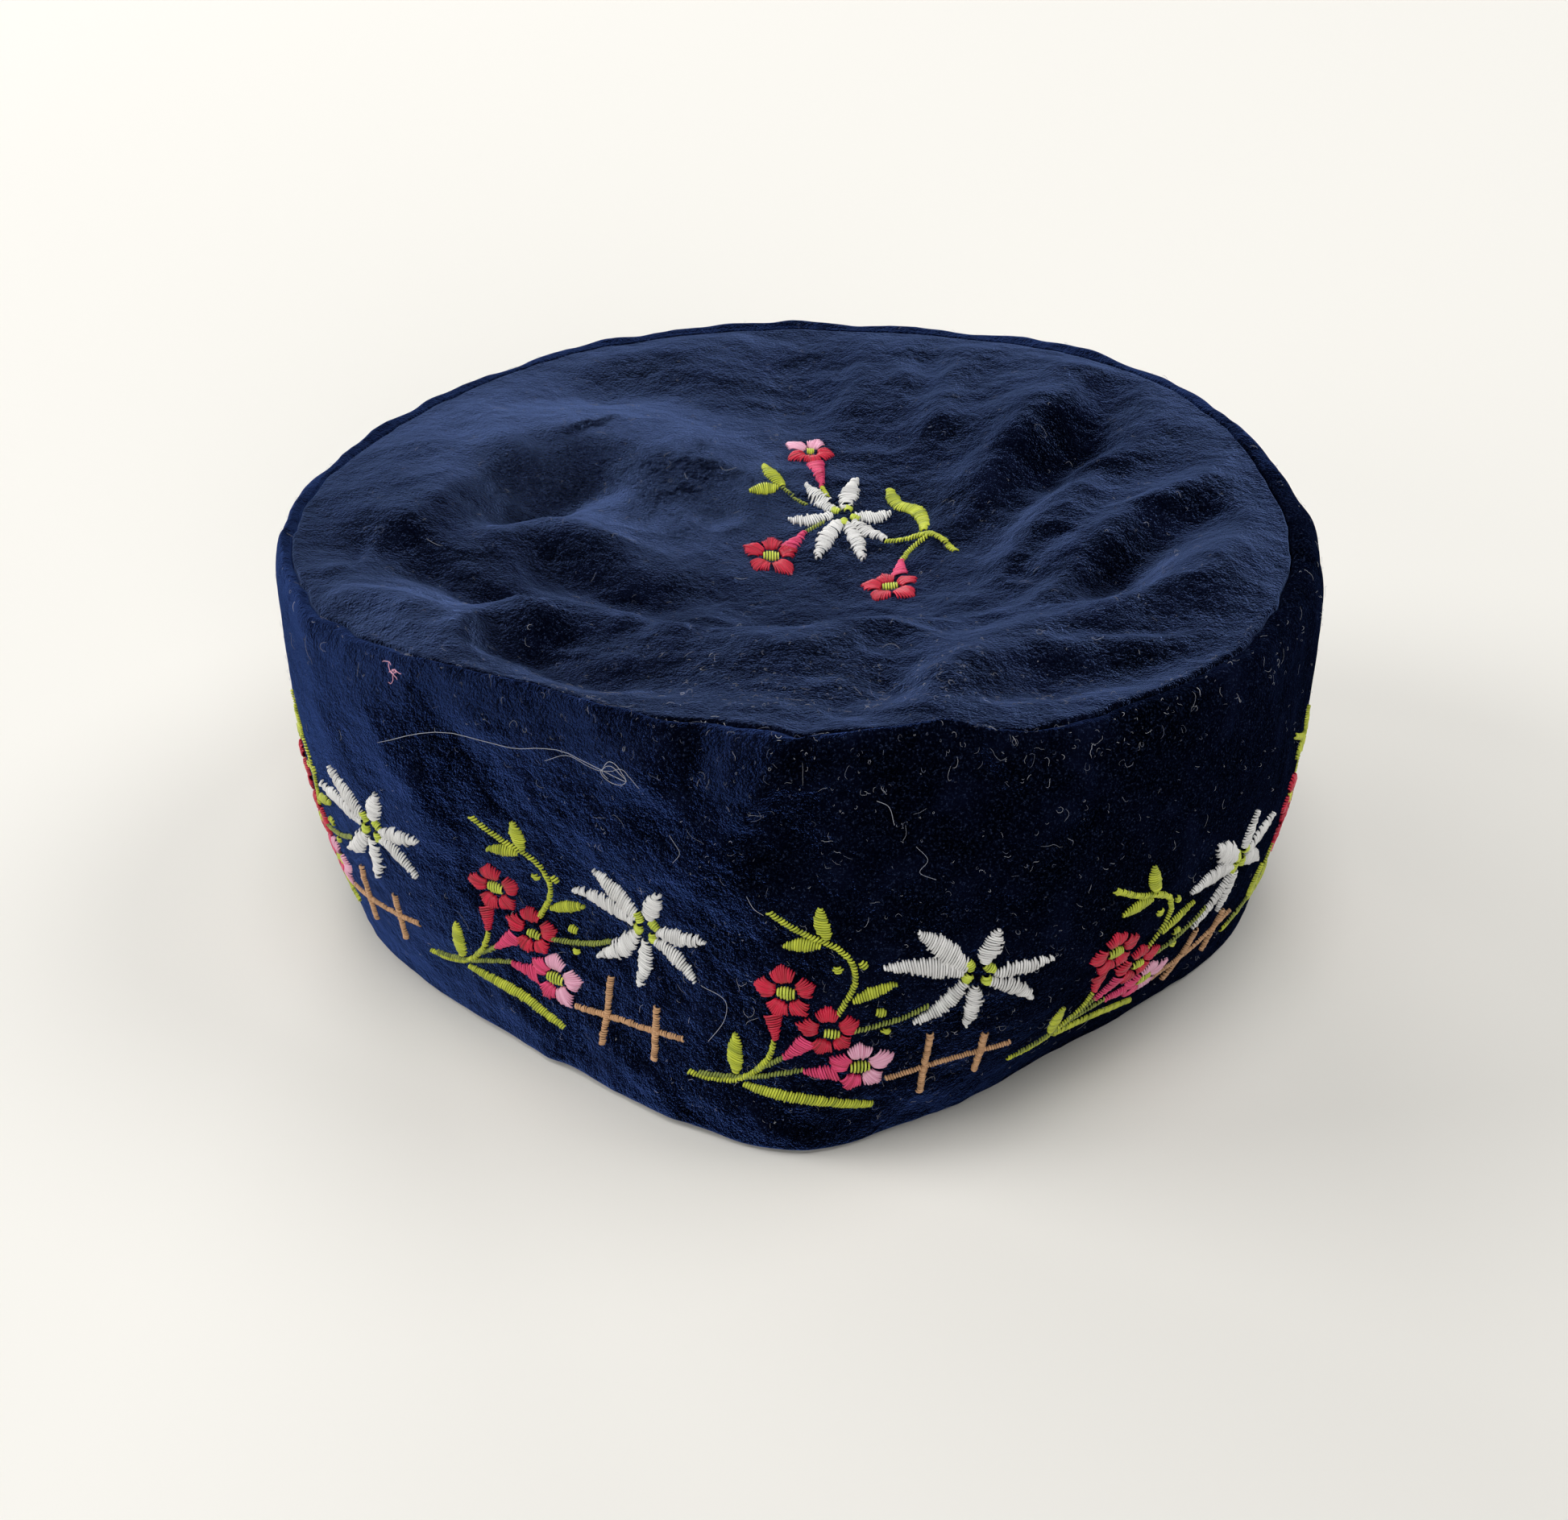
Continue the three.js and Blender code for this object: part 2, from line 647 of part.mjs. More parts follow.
function blossomShapes() {
  return [
    blossom([19.2, 35.9], PETAL_RADIUS, 98),
    tube([18.9, 34], [18.2, 23], TUBE_WIDTH),
    blossom([26.9, 28.2], PETAL_RADIUS, 98),
    tube([25.6, 27], [18.4, 22], TUBE_WIDTH),
    blossom([33, 19.8], PETAL_RADIUS, 86),
    tube([31.5, 19.8], [18.6, 21], TUBE_WIDTH),
  ];
}

function fenceShapes() {
  return [
    ribbon([[39.8, 16.4], [61.6, 19.4]], RAIL_WIDTH, 1),
    ribbon([[44.2, 10.8], [45.3, 26]], RAIL_WIDTH, 1),
    ribbon([[55.6, 12.2], [56, 24.2]], RAIL_WIDTH, 1),
  ];
}

// The posy on the crown, flat: x and y in plan from the middle of the hem
const POSY_CENTRE = [10.7, 19.6];
const POSY_TIPS = [
  [19.2, 11.8],
  [20.6, 20],
  [13.6, 31.7],
  [2.6, 28.9],
  [-1, 20.1],
  [4.9, 6.5],
  [14.5, 4.9],
];

function sprigLeftShapes() {
  return [
    ribbon([[-4.1, 29.2], [0, 26.4], [3.4, 23.6]], POSY_STEM_WIDTH, 3),
    blade([-2.2, 28.6], [-6.6, 35.6], POSY_LEAF_WIDTH),
    blade([-3, 28.5], [-9.8, 26.2], POSY_LEAF_WIDTH),
  ];
}

function sprigRightShapes() {
  return [
    ribbon([[21, 11.2], [27.1, 10.3], [33.2, 3.8]], POSY_STEM_WIDTH, 3),
    ribbon([[28.9, 9.9], [25.2, 8.1], [23.2, 4.6]], POSY_STEM_WIDTH, 3),
    blade([27.5, 10.1], [20.8, 28.2], POSY_LEAF_WIDTH),
  ];
}

const THREADS = {
  cream: { color: 0xf0eee6, roughness: 0.6 },
  leaf: { color: 0x9cb52f, roughness: 0.55 },
  crimson: { color: 0xcf1f45, roughness: 0.5 },
  pink: { color: 0xe48fb4, roughness: 0.5 },
  tan: { color: 0xc49869, roughness: 0.6 },
};
const CLOTHS = {
  velvet: { color: 0x12152b, roughness: 0.95 },
  canvas: { color: 0xd9d4c4, roughness: 0.9 },
  satin: { color: 0x1a1a22, roughness: 0.6 },
  ribbon: { color: 0x1b1b1f, roughness: 0.85 },
};

const cap = new THREE.Group();
cap.name = "velvet_cap";

function add(name, geometry, finish) {
  const material = new THREE.MeshStandardMaterial({ metalness: 0, ...finish });
  const mesh = new THREE.Mesh(geometry, material);
  mesh.name = name;
  cap.add(mesh);
}

add("side_band", sideBand(), CLOTHS.velvet);
add("crown_top", crownTop(), CLOTHS.velvet);
const interlining = innerStrip(
  interliningDepth,
  INTERLINING,
  INTERLINING_EDGE,
  interliningTop,
);
const lining = innerStrip(liningDepth, LINING, LINING_BOTTOM, liningTop);
const sweatband = innerStrip(sweatbandDepth, SWEATBAND, SWEATBAND_BOTTOM, sweatbandTop);
add("band_interlining", interlining, CLOTHS.canvas);
add("band_lining", lining, CLOTHS.satin);
add("crown_lining", crownLining(), CLOTHS.satin);
add("sweatband", sweatband, CLOTHS.ribbon);

// The pattern is repeated a whole number of times, and stretched to close round the band
const repeats = Math.round(BAND_LENGTH / REPEAT_LENGTH);
const pitch = BAND_LENGTH / repeats;
const lastPetal = Math.max(...EDELWEISS_TIPS.map(([x]) => x));
const stretch = pitch / (lastPetal - LAST_PETAL_REACH);
const edelweiss = star(EDELWEISS_CENTRE, EDELWEISS_TIPS, EDELWEISS_EYE, EDELWEISS_PETAL);
const motifs = [
  ["stem_spray", stitches(sprayShapes(), STITCH_LIFT), THREADS.leaf],
  ["blossoms", stitches(blossomShapes(), BLOSSOM_LIFT), THREADS.crimson],
  ["edelweiss", stitches([edelweiss], STITCH_LIFT), THREADS.cream],
  ["fence", stitches(fenceShapes(), STITCH_LIFT), THREADS.tan],
];
for (let i = 0; i < repeats; i++) {
  const start = PATTERN_START + (i - Math.floor(repeats / 2) + 1) * pitch;
  for (const [name, pad, finish] of motifs) {
    const place = ({ x, y, z }) => onBand({ x: start + x * stretch, y: y * stretch, z });
    add(`${name}_${String(i + 1).padStart(2, "0")}`, bend(pad, place), finish);
  }
}

const posyBlossom = (centre, turn, from, end) => [
  blossom(centre, POSY_PETAL_RADIUS, turn),
  tube(from, end, POSY_TUBE_WIDTH),
];
const posyStar = star(POSY_CENTRE, POSY_TIPS, POSY_EDELWEISS_EYE, POSY_EDELWEISS_PETAL);
const posy = [
  ["crown_edelweiss", [posyStar], THREADS.cream],
  ["crown_blossom_left", posyBlossom([-4.6, 7.6], 100, [-3.3, 8.6], [2.1, 14]), THREADS.crimson],
  ["crown_blossom_right", posyBlossom([19.2, -5.8], 80, [20.4, -3.5], [22.2, 2.9]), THREADS.crimson],
  ["crown_bellflower", posyBlossom([3.6, 42.6], 90, [4.4, 41], [6.2, 31.4]), THREADS.pink],
  ["crown_sprig_left", sprigLeftShapes(), THREADS.leaf],
  ["crown_sprig_right", sprigRightShapes(), THREADS.leaf],
];
for (const [name, shapes, finish] of posy) {
  add(name, bend(stitches(shapes, POSY_LIFT), onCrown), finish);
}

// Puts the origin in the middle of the footprint, under the cap
const box = new THREE.Box3().setFromObject(cap);
const middle = box.getCenter(new THREE.Vector3());
cap.position.set(-middle.x, -middle.y, 0);

export default cap;
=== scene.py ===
# A brimless velvet cap with an embroidered side band and a soft crown that has sunk into a basin.
# Lengths are millimetres until a mesh is made, when they become metres. Angles are degrees round the
# cap from the front, towards +X. Places are measured from the middle of the hem's own circle, and
# to_metres() moves them to the part's origin, in the middle of its footprint.
import math

import bpy
import numpy as np
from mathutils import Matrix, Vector


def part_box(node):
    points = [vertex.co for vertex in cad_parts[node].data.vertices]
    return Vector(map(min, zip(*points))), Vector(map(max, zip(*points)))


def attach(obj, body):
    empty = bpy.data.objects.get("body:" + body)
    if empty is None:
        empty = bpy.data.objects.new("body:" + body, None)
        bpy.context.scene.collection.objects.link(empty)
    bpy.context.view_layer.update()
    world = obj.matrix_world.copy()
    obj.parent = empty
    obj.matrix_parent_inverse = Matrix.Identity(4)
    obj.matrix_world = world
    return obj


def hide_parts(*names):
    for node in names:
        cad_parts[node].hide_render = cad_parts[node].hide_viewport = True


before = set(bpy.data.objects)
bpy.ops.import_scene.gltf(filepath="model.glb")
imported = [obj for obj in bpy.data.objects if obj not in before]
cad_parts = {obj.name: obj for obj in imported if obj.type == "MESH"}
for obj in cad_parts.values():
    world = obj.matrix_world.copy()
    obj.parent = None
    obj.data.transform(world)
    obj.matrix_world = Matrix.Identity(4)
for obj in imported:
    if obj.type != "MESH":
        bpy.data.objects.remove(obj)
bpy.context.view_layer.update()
random = np.random.default_rng(7)

# The photograph's camera: focal length and sensor, and its place in front of the cap
LENS = 44.40
SENSOR = 36.0
CAMERA_PLACE = (-2.2, -353.7, 261.4)
CAMERA_DOWN = 34.31

# The hem's outline: nearly round, a little square, and pinched to a point at the front. Each bump is
# its angle, its spread in degrees and how far it stands out.
RIM_RADIUS = 93
RIM_FLAT_BACK = 5
RIM_SQUARENESS = 3.2
RIM_BUMPS = [(0, 9, 3.2), (30, 14, -2.2), (-30, 14, -2.2), (-72, 22, 4.6), (74, 22, 7.9)]

# The seam between the band and the crown: a circle set a little to the back, dented at the front
CROWN_RADIUS = 96
CROWN_SET_BACK = 5
SEAM_BUMPS = [
    (-30, 23, -10.5),
    (-8, 9, -2.5),
    (8, 20, -5),
    (25, 6, 4),
    (45, 22, 2),
    (-82, 25, 6),
    (80, 25, 3.5),
    (124, 26, 5.5),
]
SEAM_HEIGHT = 80
SEAM_LIFTS = [(-35, 25, 1.5), (15, 30, 4), (126, 30, 2.5)]

# Between them the band leans out, bellies, and rolls over into the seam
ROLL_HEIGHT = 9
OVERHANG = 5.5
OVERHANG_BUMPS = [
    (-85, 40, -1.5),
    (85, 40, 2),
    (0, 40, -2),
    (-8, 9, 2),
    (8, 20, 2.5),
    (25, 6, -2),
]
BELLY = 1.5
BELLY_BUMPS = [(-25, 25, -4), (25, 35, 4.5)]
WIDEST = 0.86
REFERENCE_LEVEL = 0.34

# The basin of the crown
BASIN_DEPTH = 15
BASIN_RADIUS = 58
BASIN_CENTRE = (-4, -8)
EDGE_PUFF = 1.5
PUFF_AT = 0.92
PUFF_SPREAD = 0.06
SAG_STARTS = 8

# How far the band's top puffs up above the seam and hides it
CREST_RISE = 1.0
CREST_BUMPS = [(-33, 19, 2.6), (-6, 8, 1.2), (16, 8, 2.2), (36, 9, -0.6)]

# Cloth thicknesses, the clearance between layers, and widths along the band
VELVET = 1.0
INTERLINING = 0.8
LINING = 0.4
SWEATBAND = 0.5
LAYER_GAP = 0.3
HEM_TURN_UP = 14
HEM_ROUND = 1.4
SEAM_ALLOWANCE = 8
SEAM_ROUND = 0.7
INTERLINING_EDGE = 1.4
INTERLINING_TOP = SEAM_HEIGHT - ROLL_HEIGHT - 5
LINING_BOTTOM = 6
LINING_TOP = SEAM_HEIGHT - ROLL_HEIGHT - 1.5
SWEATBAND_BOTTOM = 2
SWEATBAND_WIDTH = 30

INTERLINING_DEPTH = VELVET + LAYER_GAP
HEM_DEPTH = INTERLINING_DEPTH + INTERLINING + LAYER_GAP
LINING_DEPTH = HEM_DEPTH + VELVET + LAYER_GAP
SWEATBAND_DEPTH = LINING_DEPTH + LINING + LAYER_GAP

# How finely the cloth is cut: steps round the cap, up the wall and across the crown. The tables of
# lengths have their own steps round the cap.
ROUND_STEPS = 540
WALL_STEPS = 66
CROWN_STEPS = 92
TABLE_STEPS = 720

# Levels for a millimetre up the wall, as a first guess and as each step that mends it
LEVEL_GUESS = 0.011
LEVEL_MEND = 0.0105

# The roll as a flat cloth: millimetres to a degree round it, and to its whole turn
ROLL_SCALE = (1.62, 12.5)

# Folds of the crown as it lies in the photograph. Each is a line through places in plan, how high it
# stands (or how deep it lies, if negative), and how far it spreads to its back and to its front.
CROWN_FOLDS = [
    ([(-94, -42), (-80, -38), (-70, -41), (-61, -45), (-54, -46)], 5.0, 6, 11),
    ([(-58, -42), (-50, -33), (-42, -31), (-34, -34), (-26, -40)], 4.5, 6, 10),
    ([(-40, -38), (-22, -43), (-13, -46), (-4, -46), (5, -44), (22, -40), (38, -36)], 7.0, 7, 17),
    ([(-60, -47), (-49, -51), (-38, -59), (-25, -65)], -5.0, 6, 6),
    ([(-80, -64), (-72, -54), (-68, -46)], 2.0, 5, 4),
    ([(18, -74), (30, -61), (44, -50), (59, -38), (70, -28), (81, -19), (96, -8)], 6.5, 8, 8),
    ([(42, -56), (52, -53), (61, -49), (76, -46)], 2.5, 3, 6),
    ([(40, -72), (54, -67), (66, -58), (82, -44)], -3.5, 6, 6),
    ([(2, -80), (14, -72), (22, -58)], -3.0, 6, 6),
    ([(-102, -8), (-91, -13), (-83, -15)], -4.5, 8, 7),
    ([(-78, -14), (-66, -20), (-54, -22)], -4.5, 6, 6),
    ([(-60, -9), (-47, -9), (-36, -14), (-20, -8)], -4.0, 9, 9),
    ([(-84, -14), (-74, 6), (-65, 23), (-53, 35)], 4.5, 13, 4.5),
    ([(-70, 2), (-58, 13), (-48, 24), (-40, 32)], -3.5, 4, 5),
    ([(-72, -4), (-59, 6), (-49, 6), (-34, -1)], 3.5, 5, 8),
    ([(-75, 31), (-57, 40), (-42, 40), (-28, 37), (-8, 30)], 4.6, 18, 10),
    ([(-52, 60), (-38, 66), (-18, 62)], -2.0, 7, 7),
    ([(0, 100), (-2, 78), (4, 58)], -2.5, 10, 9),
    ([(12, 58), (17, 75), (22, 96)], 2.0, 5, 5),
    ([(26, 66), (29, 84), (34, 98)], 2.0, 5, 4),
    ([(32, 44), (37, 66), (43, 92)], 2.6, 5, 6),
    ([(36, 14), (45, 31), (55, 48), (66, 64), (82, 76)], 4.5, 9, 6),
    ([(54, 16), (62, 34), (68, 52), (70, 68)], -5.0, 8, 9),
    ([(36, -22), (49, -9), (56, 5), (63, 22), (80, 38)], 4.0, 7, 6),
    ([(42, -36), (54, -21), (62, -9), (76, 5), (94, 22)], 4.5, 6, 8),
    ([(42, -18), (50, -8), (55, 0)], -2.5, 4, 4),
    ([(58, -30), (68, -15), (80, -2), (96, 6)], -5.0, 7, 8),
    ([(48, 84), (58, 89), (68, 83)], 2.2, 3, 3),
]

# Folds of the band, along it from the front and up it from the hem
BAND_FOLDS = [
    ([(6, 90), (1, 84), (-4, 76), (-9, 68), (-11, 62)], 2.0, 2.2, 4),
    ([(12, 84), (10, 76), (2, 66), (-4, 58)], -0.9, 5, 5),
    ([(-20, 84), (-19, 76), (-23, 66), (-30, 58)], -1.4, 5, 5),
    ([(-44, 84), (-38, 74), (-26, 66), (-16, 60)], 0.9, 6, 6),
    ([(24, 82), (29, 77), (36, 70), (38, 62)], -1.1, 4, 4),
    ([(32, 88), (34, 80), (41, 70), (44, 60)], 1.2, 3, 4),
    ([(46, 88), (45, 80), (42, 72)], -0.9, 4, 4),
    ([(56, 88), (58, 78), (64, 68)], 0.7, 4, 4),
    ([(-56, 70), (-40, 55), (-18, 56), (6, 50)], 1.3, 6, 9),
    ([(-84, 42), (-62, 33), (-42, 35), (-22, 30)], -1.0, 7, 7),
    ([(-25, 9), (-14, 8), (-4, 9)], 0.7, 2.2, 2.2),
    ([(-16, 4.5), (-6, 5), (6, 3)], 0.6, 1.8, 1.8),
    ([(-44, 14), (-30, 7), (-20, 2)], 0.9, 3, 4),
    ([(-66, 12), (-56, 6), (-50, 0)], 0.8, 4, 4),
    ([(20, 12), (30, 6), (36, 0)], 0.7, 4, 4),
    ([(-92, 74), (-86, 64), (-79, 52), (-74, 40)], 1.4, 5, 7),
    ([(-76, 78), (-70, 68), (-62, 60)], -1.0, 5, 5),
    ([(-110, 84), (-104, 70), (-100, 50)], 1.0, 6, 6),
    ([(-128, 78), (-130, 60), (-124, 40)], -1.0, 8, 8),
    ([(96, 84), (100, 70), (98, 52)], 1.0, 6, 8),
    ([(120, 80), (118, 62), (124, 44)], -1.0, 8, 7),
    ([(160, 84), (166, 66), (162, 46)], 1.1, 7, 7),
    ([(-170, 84), (-164, 68), (-170, 48)], 1.0, 8, 6),
    ([(210, 82), (204, 64), (210, 44)], -1.0, 8, 8),
    ([(-220, 84), (-228, 66), (-222, 48)], -0.9, 7, 9),
    ([(-262, 84), (-256, 66), (-262, 48)], 1.1, 8, 7),
    ([(258, 84), (266, 66), (260, 46)], 1.0, 8, 8),
    ([(312, 84), (306, 68), (312, 50)], -0.9, 8, 8),
]


def unit(vectors, guard=0.0):
    """Vectors of length 1. The guard keeps one without a length from dividing by nothing."""
    return vectors / (np.linalg.norm(vectors, axis=-1, keepdims=True) + guard)


def run_of(places):
    """How far along its line each place lies"""
    steps = np.linalg.norm(np.diff(places, axis=-2), axis=-1)
    return np.concatenate([np.zeros(steps.shape[:-1] + (1,)), np.cumsum(steps, axis=-1)], -1)


def at_height(places, height):
    """Places in plan, raised to a height"""
    return np.concatenate([places, np.broadcast_to(height, places.shape[:-1])[..., None]], -1)


def bumps(angle, rows):
    total = np.zeros_like(angle, dtype=float)
    for at, spread, out in rows:
        away = (angle - at + 180) % 360 - 180
        total = total + out * np.exp(-((away / spread) ** 2))
    return total


def rim_radius(angle):
    a = np.radians(angle)
    plain = RIM_RADIUS - RIM_FLAT_BACK * (1 - np.cos(a)) / 2
    return plain + RIM_SQUARENESS * np.cos(4 * a) + bumps(angle, RIM_BUMPS)


def seam_radius(angle):
    forward = -np.cos(np.radians(angle)) * CROWN_SET_BACK
    circle = np.sqrt(forward**2 - CROWN_SET_BACK**2 + CROWN_RADIUS**2)
    return forward + circle + bumps(angle, SEAM_BUMPS)


def seam_height(angle):
    return SEAM_HEIGHT + bumps(angle, SEAM_LIFTS)


def overhang(angle):
    return OVERHANG + bumps(angle, OVERHANG_BUMPS)


def belly(angle):
    return BELLY + bumps(angle, BELLY_BUMPS)


def polar(angle, radius, z):
    a = np.radians(angle)
    return np.stack(np.broadcast_arrays(radius * np.sin(a), -radius * np.cos(a), z), -1)


def plain_wall(angle, level):
    """The band's outer face before its folds: level 0 is the hem and WIDEST the widest ring"""
    up = level / WIDEST
    low = rim_radius(angle)
    high = seam_radius(angle) + overhang(angle)
    radius = low + (high - low) * np.sin(up * np.pi / 2) + belly(angle) * np.sin(up * np.pi)
    return polar(angle, radius, (seam_height(angle) - ROLL_HEIGHT) * up)


def plan_normal(angle, level):
    along = plain_wall(angle + 0.5, level) - plain_wall(angle - 0.5, level)
    out = np.stack([along[..., 1], -along[..., 0], np.zeros(along.shape[:-1])], -1)
    return unit(out)


def level_at(angle, z):
    return WIDEST * z / (seam_height(angle) - ROLL_HEIGHT)


def lumps(points, size, seed):
    """Smooth noise between -1 and 1, with lumps of a size"""
    places = points / size
    cell = np.floor(places).astype(np.int64)
    share = places - cell
    share = share * share * (3 - 2 * share)
    total = np.zeros(points.shape[:-1])
    for corner in range(8):
        step = np.array([corner & 1, corner >> 1 & 1, corner >> 2 & 1])
        key = (cell + step) @ np.array([73856093, 19349663, 83492791]) + seed * 7919
        key = (key ^ (key >> 13)) * 1274126177 & 0x7FFFFFFF
        key = (key ^ (key >> 11)) * 668265263 & 0x7FFFFFFF
        weight = np.where(step, share, 1 - share).prod(-1)
        total += weight * (key / 0x3FFFFFFF - 1)
    return total


def smooth_line(points, steps):
    """A smooth line through points, as evenly numbered places"""
    p = np.array(points, float)
    p = np.vstack([2 * p[0] - p[1], p, 2 * p[-1] - p[-2]])
    at = np.linspace(0, len(p) - 3, steps + 1)
    i = np.minimum(at.astype(int), len(p) - 4)
    t = (at - i)[:, None]
    a, b, c, d = p[i], p[i + 1], p[i + 2], p[i + 3]
    cubic = (3 * b - a - 3 * c + d) * t**3
    return 0.5 * (2 * b + (c - a) * t + (2 * a - 5 * b + 4 * c - d) * t**2 + cubic)


def ridges(places, folds):
    """The height of folds at flat places. A fold fades out over the last fifth of its line."""
    total = np.zeros(places.shape[:-1])
    for points, rise, back, front in folds:
        line = smooth_line(points, 6 * len(points))
        best = np.full(total.shape, 1e9)
        side = np.zeros(total.shape)
        reach = np.zeros(total.shape)
        for i in range(len(line) - 1):
            step = line[i + 1] - line[i]
            rel = places - line[i]
            t = np.clip((rel @ step) / (step @ step), 0, 1)
            off = rel - t[..., None] * step
            away = np.hypot(off[..., 0], off[..., 1])
            nearer = away < best
            best = np.where(nearer, away, best)
            side = np.where(nearer, step[0] * rel[..., 1] - step[1] * rel[..., 0], side)
            reach = np.where(nearer, (i + t) / (len(line) - 1), reach)
        spread = np.where(side > 0, back, front)
        fade = np.clip(np.minimum(reach, 1 - reach) / 0.2, 0, 1)
        fade = 0.35 + 0.65 * fade * fade * (3 - 2 * fade)
        total += rise * fade * np.exp(-((best / spread) ** 2))
    return total


# Lengths round the band, from the front, and up it
TABLE_ANGLES = np.linspace(-180, 180, TABLE_STEPS + 1)
TABLE_LENGTHS = run_of(plain_wall(TABLE_ANGLES, np.full(TABLE_STEPS + 1, REFERENCE_LEVEL)))
BAND_LENGTH = TABLE_LENGTHS[-1]
TABLE_LENGTHS -= np.interp(0, TABLE_ANGLES, TABLE_LENGTHS)
TABLE_LEVELS = np.linspace(0, WIDEST, WALL_STEPS + 1)
TABLE_CLIMBS = run_of(plain_wall(TABLE_ANGLES[:, None], TABLE_LEVELS[None, :]))


def along_band(angle):
    return np.interp((angle + 180) % 360 - 180, TABLE_ANGLES, TABLE_LENGTHS)


def seam_pucker(angle):
    """Little gathers along the crown's seam"""
    ring = polar(angle, CROWN_RADIUS, 0 * angle)
    gathers = 0.5 * lumps(ring, 9, 3) + 0.55 * lumps(ring, 4.5, 4) + 0.25 * lumps(ring, 2.4, 5)
    return gathers * (0.75 + 0.5 * lumps(ring, 40, 6))


def crest(angle, turn):
    """How far the roll of the band puffs up, most of all just outside the seam"""
    ring = polar(angle, CROWN_RADIUS, 0 * angle)
    rise = CREST_RISE + bumps(angle, CREST_BUMPS) + 0.9 * lumps(ring, 19, 51) + 0.5 * lumps(ring, 8, 52)
    rise = rise + 0.25 * lumps(ring + 7 * np.asarray(turn)[..., None], 5, 53)
    return rise * np.sin(np.pi * np.asarray(turn) ** 1.7) ** 1.5


def band_relief(angle, level, turn=0):
    """How far the band's cloth stands out from its plain form. Turn goes from 0 to 1 up its roll."""
    angle, level, turn = np.broadcast_arrays(angle, level, turn)
    up = level / WIDEST * (SEAM_HEIGHT - ROLL_HEIGHT) + turn * ROLL_HEIGHT * 1.4
    relief = ridges(np.stack([along_band(angle), up], -1), BAND_FOLDS)
    place = polar(angle, CROWN_RADIUS, up)
    relief = relief + 0.6 * lumps(place, 26, 11) + 0.28 * lumps(place, 10, 12)
    relief = relief + 0.13 * (1 - 2 * np.abs(lumps(place, 5, 13)))
    near_seam = np.exp(-((SEAM_HEIGHT + 4 - up) / 7))
    return relief + seam_pucker(angle) * np.clip(near_seam, 0, 1)


def inside(angle, level, depth, turn=0):
    """A place behind the band's face, with its folds"""
    angle, level, depth = np.broadcast_arrays(angle, level, depth)
    out = band_relief(angle, level, turn) - depth
    return plain_wall(angle, level) + plan_normal(angle, level) * out[..., None]


def roll(angle, turn, depth, reach, height):
    """The roll over the top of the band: turn 0 is the widest ring and 1 is the seam"""
    q = turn * np.pi / 2
    place = inside(angle, WIDEST, depth + reach * (1 - np.cos(q)), turn)
    puffed = height * np.sin(q) + crest(*np.broadcast_arrays(angle, turn))
    place[..., 2] = seam_height(angle) - ROLL_HEIGHT + puffed
    return place


def set_in(angle, depth, z):
    angle, depth, z = np.broadcast_arrays(angle, depth, z)
    place = inside(angle, WIDEST, depth, 1)
    place[..., 2] = z
    return place


def crown_edge(angle, inset=0.0):
    return set_in(angle, overhang(angle) + LAYER_GAP / 2 + inset, seam_height(angle))


def turn_of(places):
    """The angle of a place seen from the middle of the crown's edge"""
    return np.degrees(np.arctan2(places[..., 0], -places[..., 1]))


def basin(places):
    return BASIN_DEPTH * np.exp(-(((places - np.array(BASIN_CENTRE)) / BASIN_RADIUS) ** 2).sum(-1))


EDGE_MIDDLE = np.array([0.0, CROWN_SET_BACK])
edge_places = crown_edge(TABLE_ANGLES, SEAM_ROUND)[:, :2] - EDGE_MIDDLE
EDGE_REACH = np.linalg.norm(edge_places, axis=1)
EDGE_TURNS = turn_of(edge_places)
EDGE_TURNS[0] -= 360 * (EDGE_TURNS[0] > 0)
EDGE_TURNS[-1] += 360 * (EDGE_TURNS[-1] < 0)


def crown_height(places):
    """The crown's upper face at places in plan"""
    rel = places - EDGE_MIDDLE
    turn = turn_of(rel)
    share = np.hypot(rel[..., 0], rel[..., 1]) / np.interp(turn, EDGE_TURNS, EDGE_REACH)
    share = np.minimum(share, 1)
    loose = 1 - share**SAG_STARTS
    puff = EDGE_PUFF * np.exp(-(((share - PUFF_AT) / PUFF_SPREAD) ** 2))
    height = SEAM_HEIGHT + bumps(turn, SEAM_LIFTS) * share**2 + (puff - basin(places)) * loose
    flat = at_height(places, 0.0)
    stray = np.stack([lumps(flat, 21, 25), lumps(flat, 21, 26)], -1) * 3
    stray = stray + np.stack([lumps(flat, 9, 27), lumps(flat, 9, 28)], -1)
    crumple = 1.8 * lumps(flat, 30, 21) + 0.6 * (1 - 2 * np.abs(lumps(flat, 20, 22)))
    crumple = crumple + 0.35 * lumps(flat, 8, 23) + 0.1 * lumps(flat, 3.5, 24)
    drawn = at_height(places + 1.5 * stray, 0.0) * np.array([0.7, 1.3, 1])
    crumple = crumple + 0.45 * (1 - 2 * np.abs(lumps(drawn, 13, 30)))
    near_seam = np.exp(-(1 - share) * CROWN_RADIUS / 6)
    pucker = seam_pucker(turn) * near_seam
    folds = ridges(places + stray, CROWN_FOLDS) * (1 + 0.25 * lumps(flat, 24, 29))
    return height + (folds + crumple) * loose + pucker * (1 - share**40)


def to_metres(points):
    return (points - ORIGIN_SHIFT) * 0.001


def add_object(name, data):
    piece = bpy.data.objects.new(name, data)
    bpy.context.scene.collection.objects.link(piece)
    return piece


